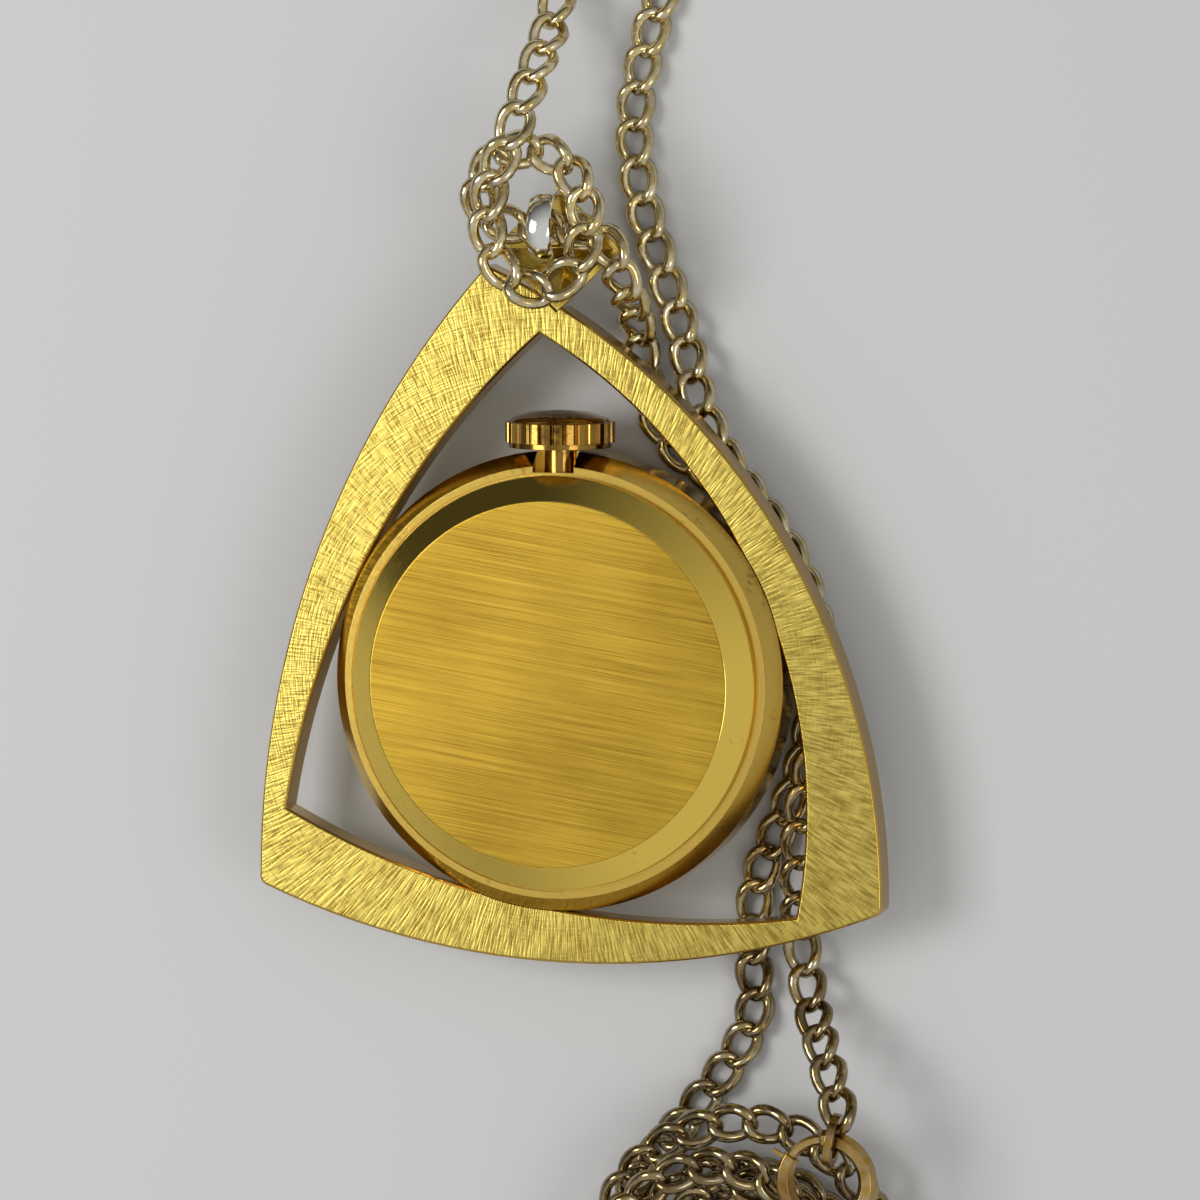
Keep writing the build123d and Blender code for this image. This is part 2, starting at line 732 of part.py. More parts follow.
def make_train():
    """Centre, third, fourth and escape wheels, each with its pinion and arbor."""
    centre_phase = 0.0
    wheels = {}
    deck_low = deck_z - plate_web / 4
    top = bridge_top_z - working_gap

    low = deck_z + centre_wheel_lift
    wheel = toothed(centre_teeth, centre_module, low, low + wheel_thickness, centre, centre_phase)
    pinion_low = deck_z + centre_pinion_lift
    wheel += toothed(centre_leaves, barrel_module, low, pinion_low + centre_pinion_height)
    wheel += arbor(centre, cannon_low_z + seat_gap, low, top, arbor_r)
    wheels["centre_wheel"] = wheel

    third_pinion_phase = meshed_phase(centre_teeth, centre_phase, third_leaves, third_angle)
    low = deck_z + third_wheel_lift
    wheel = toothed(third_teeth, third_module, low, low + wheel_thickness, third_at)
    pinion_low = deck_z + third_pinion_lift
    wheel += toothed(third_leaves, centre_module, pinion_low, pinion_low + third_pinion_height,
                     third_at, third_pinion_phase)
    wheel += arbor(third_at, deck_low, pinion_low, top)
    wheels["third_wheel"] = wheel

    fourth_pinion_phase = meshed_phase(third_teeth, 0.0, fourth_leaves, fourth_angle)
    low = deck_z + fourth_wheel_lift
    wheel = toothed(fourth_teeth, fourth_module, low, low + wheel_thickness, fourth_at)
    pinion_low = deck_z + fourth_pinion_lift
    wheel += toothed(fourth_leaves, third_module, pinion_low, pinion_low + fourth_pinion_height,
                     fourth_at, fourth_pinion_phase)
    wheel += arbor(fourth_at, deck_low, pinion_low, top)
    wheels["fourth_wheel"] = wheel

    escape_pinion_phase = meshed_phase(fourth_teeth, 0.0, escape_leaves, escape_angle)
    low = deck_z + escape_wheel_lift
    points = []
    step = 360 / escape_teeth
    for tooth in range(escape_teeth):
        points.append(polar(escape_r * escape_root_share, tooth * step, escape_at))
        for share in escape_tip_shares:
            points.append(polar(escape_r, (tooth + share) * step, escape_at))
    wheel = prism(points, low, low + wheel_thickness)
    wheel += arbor(escape_at, deck_low, low, top)
    pinion_low = deck_z + escape_pinion_lift
    wheel += toothed(escape_leaves, fourth_module, pinion_low, pinion_low + escape_pinion_height,
                     escape_at, escape_pinion_phase)
    wheels["escape_wheel"] = wheel
    return wheels


def make_escapement():
    """The pallet fork, the balance with its staff, the hairspring and the regulator."""
    low = deck_z + pallet_lift
    high = low + pallet_thickness
    back_angle = escapement_angle + 180
    fork = plug(hub_r - working_gap, low, high, pallet_at)
    fork += arbor(pallet_at, deck_z - plate_web / 4, low, deck_z + pallet_cock_lift + working_gap)
    for side in (-1, 1):
        tip = polar(pallet_arm, back_angle + side * pallet_spread, pallet_at)
        fork += tapered_bar(pallet_at, pallet_lever, tip, pallet_lever / 2, low, high)
        fork += plug(pallet_stone / 2, low - working_gap, low - working_gap + pallet_stone_height, tip)
    reach = balance_distance - pallet_distance - impulse_orbit
    end = polar(reach, escapement_angle, pallet_at)
    fork += tapered_bar(pallet_at, pallet_lever, end, fork_gap, low, high)
    mouth = polar(reach + fork_gap, escapement_angle, pallet_at)
    fork -= bore(fork_gap / 2 + impulse_r / 2, low - overrun, high + overrun, mouth)

    wheel_low = deck_z + balance_lift
    wheel_high = wheel_low + balance_height
    wheel = hoop(balance_r, balance_r - balance_rim, wheel_low, wheel_high, balance_at)
    bar = block((-balance_r + balance_rim / 2, -balance_arm / 2, wheel_low),
                (balance_r - balance_rim / 2, balance_arm / 2, wheel_low + wheel_thickness))
    wheel += Pos(balance_at[0], balance_at[1], 0) * Rot(0, 0, pallet_spread) * bar
    roller_low = deck_z + roller_lift
    wheel += arbor(balance_at, deck_z - plate_web / 4, roller_low, bridge_top_z)
    wheel += plug(roller_r, roller_low, roller_low + wheel_thickness, balance_at)
    pin = polar(impulse_orbit, back_angle, balance_at)
    wheel += plug(impulse_r, high + running_gap, roller_low + running_gap, pin)

    spring_low = deck_z + hairspring_lift
    spring = spiral_strip(pivot_r + working_gap, hairspring_r, hairspring_turns, hairspring_steps,
                          hairspring_strip, spring_low, spring_low + hairspring_height, balance_at)

    index_low = bridge_top_z + seat_gap
    tail_angle = escapement_angle + regulator_turn
    tail = polar(regulator_tail, tail_angle, balance_at)
    index = tapered_bar(balance_at, regulator_ring_r, tail, hand_hub / 2, index_low,
                        index_low + regulator_thickness)
    index -= disc(regulator_ring_r - working_gap, index_low - overrun, index_low + overrun, balance_at)
    return {"pallet_fork": fork, "balance_wheel": wheel, "hairspring": spring, "regulator": index}


def make_winding():
    """Winding pinion, clutch, crown wheel, ratchet wheel, click and the two setting levers."""
    crown_phase = 90 + 180 / crown_wheel_teeth
    ratchet_phase = meshed_phase(crown_wheel_teeth, crown_phase, ratchet_teeth, ratchet_line)
    crown_wheel = toothed(crown_wheel_teeth, winding_module, ratchet_z, ratchet_top_z,
                          crown_wheel_at, crown_phase)
    crown_wheel -= disc(hub_r + working_gap + running_gap, ratchet_z - overrun,
                        ratchet_top_z + overrun, crown_wheel_at)
    ratchet = toothed(ratchet_teeth, winding_module, ratchet_z, ratchet_top_z, barrel_at,
                      ratchet_phase)
    ratchet -= disc(arbor_r + solder_gap, ratchet_z - overrun, ratchet_top_z + overrun, barrel_at)
    pinion = toothed(winding_teeth, winding_module, winding_low_y, winding_high_y)
    pinion -= disc(stem_r + running_gap, winding_low_y - overrun, winding_high_y + overrun)
    pinion = Pos(0, 0, stem_z) * Rot(-90, 0, 0) * pinion
    clutch_outer_y = clutch_inner_y + clutch_length
    clutch = rod(clutch_r, clutch_inner_y, clutch_outer_y)
    half_groove = clutch_groove_width / 2
    groove = rod(clutch_r + overrun, clutch_groove_y - half_groove, clutch_groove_y + half_groove)
    groove -= rod(clutch_groove_r, stem_inner_y, clutch_outer_y)
    clutch -= groove
    half = stem_square / 2 + running_gap
    clutch -= block((-half, stem_inner_y, stem_z - half), (half, clutch_outer_y + overrun, stem_z + half))

    click_low = ratchet_z
    beak = polar(ratchet_tip + working_gap + click_beak_r, click_beak_angle, barrel_at)
    click = tapered_bar(click_at, hub_r, beak, click_beak_r, click_low, ratchet_top_z)
    click -= disc(lever_bore_r + running_gap, click_low - overrun, ratchet_top_z + overrun, click_at)
    spring_end = polar(hub_r + click_spring_width + working_gap, click_angle, click_at)
    spring_foot = polar(hub_r + overrun, click_angle - 90, spring_end)
    spring = tapered_bar(spring_end, click_spring_width, spring_foot, click_spring_width,
                         ratchet_z, ratchet_top_z)
    return {"crown_wheel": crown_wheel, "ratchet_wheel": ratchet, "winding_pinion": pinion,
            "clutch_wheel": clutch, "click": click, "click_spring": spring,
            "setting_lever": stem_lever((setting_lever_x, setting_lever_y), stem_groove_y,
                                        stem_groove_r),
            "yoke": stem_lever((yoke_x, yoke_y), clutch_groove_y, clutch_groove_r)}


def stem_lever(pivot, groove_y, groove_r):
    """A flat lever on its post, with its tip in a groove round the stem's axis."""
    low, high = stem_z - lever_thickness / 2, stem_z + lever_thickness / 2
    tip = (-groove_r - working_gap, groove_y)
    lever = tapered_bar(pivot, hub_r, tip, lever_tip / 2, low, high)
    return lever - disc(lever_bore_r, low - overrun, high + overrun, pivot)


def make_motion():
    """Cannon pinion, minute wheel, hour wheel, setting wheel, dial, markers and hands."""
    wheel_high = motion_z - seat_gap
    wheel_low = wheel_high - wheel_thickness
    hour_low = plate_front_z + 2 * running_gap
    hour_high = hour_low + wheel_thickness
    minute_hand_z = cannon_low_z + seat_gap
    hour_hand_z = minute_hand_z + hand_thickness + 2 * working_gap
    cannon = toothed(cannon_leaves, minute_module, wheel_low, wheel_high)
    cannon += plug(cannon_r, cannon_low_z, wheel_high)
    cannon -= disc(arbor_r + solder_gap, cannon_low_z - overrun, wheel_high + overrun)
    minute_phase = meshed_phase(cannon_leaves, 0.0, minute_teeth, minute_angle)
    minute = toothed(minute_teeth, minute_module, wheel_low, wheel_high, minute_at, minute_phase)
    minute += toothed(minute_leaves, hour_module, hour_low - running_gap, wheel_low, minute_at)
    minute += disc(pivot_r, wheel_low, deck_z - working_gap, minute_at)
    hour_phase = meshed_phase(minute_leaves, 0.0, hour_teeth, minute_angle + 180)
    tube_r_inner = cannon_r + running_gap
    hour_tube_r = tube_r_inner + hour_tube_wall
    hour = toothed(hour_teeth, hour_module, hour_low, hour_high, centre, hour_phase)
    hour += plug(hour_tube_r, hour_hand_z - seat_gap, hour_high)
    hour -= disc(tube_r_inner, hour_hand_z - overrun, hour_high + overrun)
    setting_phase = meshed_phase(minute_teeth, minute_phase, setting_teeth, setting_angle)
    setting = toothed(setting_teeth, minute_module, wheel_low, wheel_high, setting_at, setting_phase)
    setting += disc(pivot_r, wheel_low, deck_z - working_gap, setting_at)
    dial = ring(dial_r, dial_hole_r, dial_front_z, dial_back_z)
    marks = []
    for hour_mark in range(marker_count):
        mark = block((marker_inner_r, -marker_width / 2, dial_front_z - marker_height),
                     (marker_inner_r + marker_length, marker_width / 2, dial_front_z))
        marks.append(Rot(0, 0, hour_mark * 360 / marker_count) * mark)
    return {"cannon_pinion": cannon, "minute_wheel": minute, "hour_wheel": hour,
            "setting_wheel": setting, "dial": dial, "hour_markers": Compound(children=marks),
            "hour_hand": make_hand(hour_hand_length, hour_hand_angle, hour_hand_z, hour_tube_r),
            "minute_hand": make_hand(minute_hand_length, minute_hand_angle, minute_hand_z, cannon_r)}


def make_hand(length, angle, low, pipe_r):
    """A slim tapered hand with a boss on its pipe."""
    boss_r = pipe_r + hand_hub
    tail = -length * hand_tail_share
    waist = (length / 2, hand_width / 2)
    blade = prism([(tail, -hand_width / 4), waist_mirror(waist), (length, 0), waist,
                   (tail, hand_width / 4)], low, low + hand_thickness)
    hand = blade + plug(boss_r, low, low + hand_thickness, centre, wheel_sides)
    hand = Rot(0, 0, angle) * hand
    return hand - bore(pipe_r + solder_gap, low - overrun, low + overrun)


def waist_mirror(point):
    """The same point on the other side of the hand's centre line."""
    return (point[0], -point[1])


# Chain

chain_z = chain_floor_gap + chain_thickness / 2
chain_step = chain_thickness + chain_gap
stacked_z = chain_z + chain_step
winding_low_z = cap_rim_z + chain_thickness / 2 + winding_rise
winding_high_z = winding_low_z + chain_step


def pile_points():
    """Corners of the pile: it spirals in and out, and climbs a layer in the run between them."""
    points = []
    radius = pile_outer_r
    shrink = (chain_width + chain_gap) / (pile_corners - 2)
    angle = pile_start_angle
    corner_share = 1 / cos(pi / pile_corners)
    direction = -1
    z = chain_z
    for steps in pile_layers:
        for _ in range(steps):
            points.append((*polar(radius * corner_share, angle, (pile_x, pile_y)), z))
            angle += 360 / pile_corners
            radius += direction * shrink
        z += chain_step
        direction = -direction
    end = polar(pile_outer_r, angle - 180 / pile_corners, (pile_x, pile_y))
    points.append((*end, z - chain_step + pile_end_rise))
    return points


# Hand-chosen points of the chain: from its free end by the clasp, up under the right limb,
# round above the cap, down to the bail, round it and through it
upper_route = [
    (16.6, -23.5, clasp_z), (15.4, -20.8, 5.2), (13.8, -18.2, 1.9), (13.0, -14.9, 0.9),
    (13.1, -11.3, 2.0), (13.3, -7.2, stacked_z), (14.6, -2.4, stacked_z),
    (14.5, 2.6, stacked_z), (12.6, 7.6, stacked_z), (9.4, 11.6, stacked_z),
    (7.3, 15.2, stacked_z), (6.3, 19.0, 1.0), (4.8, 23.0, chain_z), (3.4, 27.4, chain_z),
    (3.0, 32.0, chain_z), (4.2, 37.0, chain_z), (5.6, 41.6, chain_z), (3.6, 46.2, chain_z),
    (-0.4, 45.4, chain_z), (-1.0, 41.0, 1.0), (-0.7, 37.4, 3.2), (-1.2, 34.2, 6.4),
    (-1.8, 31.2, 8.2),
]
bail_turn = [
    (-3.6, 27.5, winding_high_z), (-3.3, 23.7, winding_high_z), (-0.6, 21.7, winding_high_z),
    (2.1, 23.7, winding_high_z), (2.3, 27.5, winding_high_z - winding_dip), (0.0, 30.0, 6.35),
    (-3.8, 29.9, winding_low_z), (-4.8, 25.6, winding_low_z),
]
lower_route = [
    (2.8, 25.6, winding_low_z), (3.9, 22.8, 6.3), (3.8, 20.1, 2.2), (3.7, 16.6, chain_z),
    (5.2, 13.0, chain_z), (8.4, 11.2, chain_z), (11.6, 7.7, chain_z), (13.6, 2.8, chain_z),
    (13.8, -2.4, chain_z), (12.3, -7.2, chain_z), (10.4, -11.2, chain_z),
    (10.0, -15.4, chain_z), (10.6, -19.6, chain_z),
]


def corner_radii(points):
    """The radius of each corner: 0.45 of the shorter run over the tangent of half the turn."""
    vectors = [Vector(*point) for point in points]
    radii = []
    for before, here, after in zip(vectors, vectors[1:], vectors[2:]):
        turn = (here - before).get_angle(after - here)
        shorter = min((here - before).length, (after - here).length)
        radii.append(0.45 * shorter / tan(radians(turn / 2)))
    return radii


def chain_sections(path):
    """Corners of the chain's upright section at the ends of each run and along each arc."""
    stations = []
    for edge in path.edges():
        turn = (edge % 0).get_angle(edge % 1)
        steps = max(1, ceil(turn / chain_turn_step))
        stations += [(edge @ (i / steps), edge % (i / steps)) for i in range(steps)]
    last = path.edges()[-1]
    stations.append((last @ 1, last % 1))
    sections = []
    for place, heading in stations:
        aside = heading.cross(Vector(0, 0, 1)).normalized()
        above = aside.cross(heading) * (chain_thickness / 2)
        aside *= chain_width / 2
        sections.append([place + aside + above, place + aside - above,
                         place - aside - above, place - aside + above])
    return sections


def least_gap(path):
    """The least gap between two passes of one stretch, measured on points along it."""
    count = ceil(path.length / chain_sample)
    samples = [tuple(path @ (i / count)) for i in range(count + 1)]
    skip = ceil(chain_pass_run / chain_sample)
    least = path.length
    for i, (x, y, z) in enumerate(samples):
        for far_x, far_y, far_z in samples[i + skip:]:
            aside = max(0, hypot(far_x - x, far_y - y) - chain_width)
            above = max(0, abs(far_z - z) - chain_thickness)
            least = min(least, hypot(aside, above))
    return least


def chain_tube(points):
    """A stretch of chain as one solid of its flat outer section, along filleted runs."""
    radii = corner_radii(points)
    path = FilletPolyline(*points, radius=radii)
    solid = skinned(chain_sections(path))
    true_volume = path.length * chain_width * chain_thickness
    print(f"{path.length:.1f} mm long, smallest radius {min(radii):.2f}, "
          f"volume {solid.volume / true_volume:.3f} of its section times its length, "
          f"least gap to itself {least_gap(path):.2f} mm")
    return solid, path.length


def halfway(start, end):
    """The point halfway along a run."""
    return tuple((a + b) / 2 for a, b in zip(start, end))


def make_chain():
    """The four stretches of the chain, each meeting the next face to face in mid run."""
    pile = pile_points()
    to_winding = halfway(upper_route[-1], bail_turn[0])
    from_winding = halfway(bail_turn[-1], lower_route[0])
    to_pile = halfway(lower_route[-1], pile[0])
    stretches = {
        "chain_upper_strand": upper_route + [to_winding],
        "chain_winding": [to_winding] + bail_turn + [from_winding],
        "chain_lower_strand": [from_winding] + lower_route + [to_pile],
        "chain_pile": [to_pile] + pile,
    }
    solids = {}
    total = 0.0
    for name, points in stretches.items():
        print(name)
        solids[name], length = chain_tube(points)
        total += length
    print(f"chain {total:.1f} mm long")
    return solids


def faceted_ring(radius, wire, place, turn):
    """A closed ring of square wire in straight facets."""
    outer = RegularPolygon(radius + wire / 2, ring_link_sides)
    inner = RegularPolygon(radius - wire / 2, ring_link_sides)
    return Pos(*place) * turn * extrude(outer - inner, wire / 2, both=True)


def wire_arc(radius, start, end, sides, bend_r):
    """A bent bar of many-sided section, between two angles round the clasp's axis."""
    section = Plane.XZ * (Pos(bend_r, 0) * RegularPolygon(radius, sides))
    bar = revolve(section, Axis.Z, end - start)
    return Rot(0, 0, start) * bar


def make_clasp():
    """The spring-ring clasp with its sliding trigger and spring, and the two end rings."""
    mouth = clasp_mouth_angle
    ring_start = mouth + clasp_gap / 2
    ring_end = mouth - clasp_gap / 2 + 360
    body = wire_arc(clasp_wire_r, ring_start, ring_end, clasp_sides, clasp_r)
    pin_start = mouth - clasp_gap / 2 + clasp_overlap / 4
    pin_end = ring_start + clasp_overlap
    bore_end = pin_end + clasp_travel + clasp_spring_arc
    body -= wire_arc(clasp_bore_r, ring_start - clasp_overlap, bore_end, clasp_sides, clasp_r)
    slot_start = ring_start + clasp_overlap / 4
    slot = wire_arc(clasp_knob / 2 + running_gap, slot_start - clasp_overlap / 3,
                    pin_end + clasp_travel, 4, clasp_r + clasp_wire_r)
    body -= slot
    knob_angle = ring_start + clasp_overlap / 2
    pin = wire_arc(clasp_bore_r - running_gap, pin_start, pin_end, clasp_sides, clasp_r)
    knob = Rot(0, 0, knob_angle) * Pos(clasp_r + clasp_wire_r, 0, 0) * Box(
        2 * clasp_wire_r, clasp_pin / 2, clasp_pin / 2)
    pin += knob
    spring_start = pin_end + clasp_spring_play
    spring = wire_arc(clasp_bore_r - running_gap, spring_start, bore_end - clasp_overlap / 6,
                      clasp_sides, clasp_r)
    eye_r = ring_link_wire + working_gap
    eye_angle = mouth + 180
    eye_place = polar(clasp_r + clasp_wire_r + eye_r, eye_angle)
    eye = faceted_ring(eye_r + ring_link_wire / 4, ring_link_wire, (*eye_place, 0),
                       Rot(0, 0, eye_angle) * Rot(90, 0, 0))
    body += eye
    link_place = polar(ring_link_r + working_gap, eye_angle, eye_place)
    ring_reach = ring_link_r + ring_link_wire / 2 + seat_gap
    place = Pos(pile_x + pile_outer_r - link_place[0], pile_y + ring_reach - link_place[1], clasp_z)
    link = faceted_ring(ring_link_r, ring_link_wire, (*link_place, 0), Rot(0, 0, eye_angle))
    end_place = polar(clasp_r, end_ring_angle)
    end_ring = faceted_ring(ring_link_r, ring_link_wire, (*end_place, 0),
                            Rot(0, 0, end_ring_angle) * Rot(90, 0, 0))
    return {"clasp_ring": place * body, "clasp_trigger": place * pin,
            "clasp_spring": place * spring, "clasp_link": place * link,
            "end_ring": place * end_ring}


def build():
    """All the sub-parts by name."""
    parts = {}
    for make in (make_frame, make_case, make_crown, make_plate, make_barrel, make_train,
                 make_escapement, make_winding, make_motion, make_chain, make_clasp):
        parts.update(make())
    return parts


os.makedirs("parts", exist_ok=True)
for node, solid in build().items():
    export_step(solid, f"parts/{node}.step")
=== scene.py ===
"""Looks of a pendant watch that lies on its crystal, with its curb chain beside it.

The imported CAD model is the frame. The open frame, the case and the clasp are finished copies of
its nodes, with merged facets and, on most, rounded edges. The bail loop is swept anew over its
arch, and the chain's stretches are laid out as real links. The movement, the dial and the hands
keep their CAD shapes, and fine minute marks are added on the dial.
"""
from __future__ import annotations

import json
import logging
import math
from collections.abc import Callable
from dataclasses import dataclass, field
from enum import Enum

import bmesh
import bpy
from mathutils import Matrix, Vector


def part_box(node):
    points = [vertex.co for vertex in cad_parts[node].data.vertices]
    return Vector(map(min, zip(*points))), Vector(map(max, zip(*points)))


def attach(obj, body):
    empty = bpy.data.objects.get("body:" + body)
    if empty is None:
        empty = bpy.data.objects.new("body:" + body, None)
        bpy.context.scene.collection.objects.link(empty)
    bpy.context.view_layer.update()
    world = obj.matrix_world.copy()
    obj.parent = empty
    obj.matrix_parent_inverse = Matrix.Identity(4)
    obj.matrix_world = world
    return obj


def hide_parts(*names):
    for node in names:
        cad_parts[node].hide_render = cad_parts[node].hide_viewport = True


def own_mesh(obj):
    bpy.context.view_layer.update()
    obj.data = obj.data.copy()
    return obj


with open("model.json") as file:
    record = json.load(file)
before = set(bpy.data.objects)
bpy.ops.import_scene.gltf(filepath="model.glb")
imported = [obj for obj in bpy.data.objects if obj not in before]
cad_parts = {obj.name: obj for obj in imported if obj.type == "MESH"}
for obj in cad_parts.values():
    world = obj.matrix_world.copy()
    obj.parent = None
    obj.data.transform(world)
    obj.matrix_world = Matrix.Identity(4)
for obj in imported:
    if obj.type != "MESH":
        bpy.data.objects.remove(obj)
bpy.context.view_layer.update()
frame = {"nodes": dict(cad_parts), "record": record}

MM = 0.001
FLOOR_LEVEL = 0.0
NOISE_MIDDLE = 0.5
log = logging.getLogger("pendant")

Point = tuple[float, float, float]
Colour = tuple[int, int, int]
Socket = bpy.types.NodeSocket


class Body(Enum):
    """The bodies that the finished pieces ride on."""

    WATCH = "watch"
    CROWN = "crown_and_stem"
    TRIGGER = "trigger"


@dataclass(frozen=True)
class Grain:
    """A noise pattern, by its scale per millimetre and its detail."""

    scale: float
    detail: float = 3.0


@dataclass(frozen=True)
class Span:
    """The two values that a ramp stretches over 0 to 1."""

    low: float
    high: float


def srgb(colour: Colour) -> tuple[float, float, float, float]:
    """Turn a colour of 0 to 255 into linear values with full alpha."""
    shares = [value / 255 for value in colour]
    linear = [s / 12.92 if s <= 0.04045 else ((s + 0.055) / 1.055) ** 2.4 for s in shares]
    return (linear[0], linear[1], linear[2], 1.0)


class TreeWriter:
    """Adds nodes to one node tree and links them."""

    def __init__(self, tree: bpy.types.NodeTree) -> None:
        """Start with an empty tree."""
        self.tree = tree
        tree.nodes.clear()

    def add(self, kind: str, **settings: object) -> bpy.types.Node:
        """Add a node.

        Args:
            kind: The node's type name.
            settings: Properties to set on the node.

        Returns:
            The new node.
        """
        node = self.tree.nodes.new(kind)
        for name, value in settings.items():
            setattr(node, name, value)
        return node

    def put(self, socket: Socket, value: object) -> None:
        """Link a socket to another, or set its plain value."""
        if isinstance(value, bpy.types.NodeSocket):
            self.tree.links.new(value, socket)
        else:
            socket.default_value = value

    def math(self, operation: str, first: object, second: object = 0.0) -> Socket:
        """Add a Math node and return its result."""
        node = self.add("ShaderNodeMath", operation=operation)
        self.put(node.inputs[0], first)
        self.put(node.inputs[1], second)
        return node.outputs[0]

    def split(self, vector: Socket) -> tuple[Socket, Socket, Socket]:
        """Split a vector into its three values."""
        node = self.add("ShaderNodeSeparateXYZ")
        self.put(node.inputs[0], vector)
        return (node.outputs[0], node.outputs[1], node.outputs[2])

    def joined(self, x: object, y: object, z: object) -> Socket:
        """Join three values into a vector."""
        node = self.add("ShaderNodeCombineXYZ")
        for socket, value in zip(node.inputs, (x, y, z)):
            self.put(socket, value)
        return node.outputs[0]


class MaterialWriter(TreeWriter):
    """Writes one procedural material on Object coordinates in millimetres."""

    def __init__(self, name: str) -> None:
        """Make the material, its surface shader and its coordinates."""
        self.material = bpy.data.materials.new(name)
        self.material.use_nodes = True
        super().__init__(self.material.node_tree)
        self.surface = self.add("ShaderNodeBsdfPrincipled")
        output = self.add("ShaderNodeOutputMaterial")
        self.put(output.inputs["Surface"], self.surface.outputs[0])
        coordinates = self.add("ShaderNodeTexCoord")
        per_mm = 1 / MM
        self.place = self.mapped(coordinates.outputs["Object"], (per_mm, per_mm, per_mm))

    def mapped(self, vector: Socket, scale: Point, turn: float = 0.0) -> Socket:
        """Turn coordinates about Z, in degrees, and then scale them."""
        if turn:
            turned = self.add("ShaderNodeMapping")
            self.put(turned.inputs["Vector"], vector)
            turned.inputs["Rotation"].default_value = (0.0, 0.0, math.radians(turn))
            vector = turned.outputs[0]
        node = self.add("ShaderNodeMapping")
        self.put(node.inputs["Vector"], vector)
        node.inputs["Scale"].default_value = scale
        return node.outputs[0]

    def noise(self, vector: Socket, grain: Grain) -> Socket:
        """Add a noise pattern and return its value."""
        node = self.add("ShaderNodeTexNoise")
        self.put(node.inputs["Vector"], vector)
        node.inputs["Scale"].default_value = grain.scale
        node.inputs["Detail"].default_value = grain.detail
        return node.outputs[0]

    def ramp(self, value: Socket, span: Span) -> Socket:
        """Stretch a span over 0 to 1, with its ends held."""
        node = self.add("ShaderNodeMapRange")
        self.put(node.inputs["Value"], value)
        node.inputs["From Min"].default_value = span.low
        node.inputs["From Max"].default_value = span.high
        return node.outputs[0]

    def blend(self, share: float, first: Socket, second: Socket) -> Socket:
        """Add two patterns, the first by its share and the second by the rest."""
        return self.math("ADD", self.math("MULTIPLY", first, share),
                         self.math("MULTIPLY", second, 1 - share))

    def mix(self, share: Socket, first: object, second: object) -> Socket:
        """Mix two colours by a share."""
        node = self.add("ShaderNodeMix", data_type="RGBA")
        self.put(node.inputs[0], share)
        self.put(node.inputs[6], first)
        self.put(node.inputs[7], second)
        return node.outputs[2]

    def bump(self, height: Socket, depth: float) -> Socket:
        """Add a bump of a depth in millimetres and return its normal."""
        node = self.add("ShaderNodeBump")
        node.inputs["Distance"].default_value = depth * MM
        self.put(node.inputs["Height"], height)
        return node.outputs[0]

    def shade(self, **values: object) -> bpy.types.Material:
        """Set the surface's sockets by name, with spaces as underscores."""
        for name, value in values.items():
            self.put(self.surface.inputs[name.replace("_", " ")], value)
        return self.material


@dataclass(frozen=True)
class PolishedMetal:
    """Plated metal with soft wear, small stains and fine handling scratches."""

    name: str
    colour: Colour
    stain: Colour
    roughness: float = 0.16
    wear: float = 0.12
    stains: Span = Span(0.56, 0.78)
    patch_grain: Grain = Grain(0.45, 5.0)
    speck_grain: Grain = Grain(3.2, 4.0)
    speck_base: float = 0.55
    scratch_grain: Grain = Grain(2.4, 2.0)
    scratch_squeeze: Point = (0.6, 9.0, 2.0)
    scratch_turn: float = 27.0
    scratch_roughness: float = 0.12
    scratch_depth: float = 0.004

    def material(self) -> bpy.types.Material:
        """Write the material."""
        w = MaterialWriter(self.name)
        patches = w.noise(w.place, self.patch_grain)
        specks = w.math("ADD", w.noise(w.place, self.speck_grain), self.speck_base)
        stained = w.ramp(w.math("MULTIPLY", patches, specks), self.stains)
        colour = w.mix(stained, srgb(self.colour), srgb(self.stain))
        scratch_place = w.mapped(w.place, self.scratch_squeeze, self.scratch_turn)
        hair = w.noise(scratch_place, self.scratch_grain)
        rough = w.math("ADD", w.math("MULTIPLY", stained, self.wear),
                       w.math("MULTIPLY", hair, self.scratch_roughness))
        smoothest = self.roughness - self.scratch_roughness * NOISE_MIDDLE
        return w.shade(Base_Color=colour, Metallic=1.0,
                       Roughness=w.math("ADD", rough, smoothest),
                       Normal=w.bump(hair, self.scratch_depth))


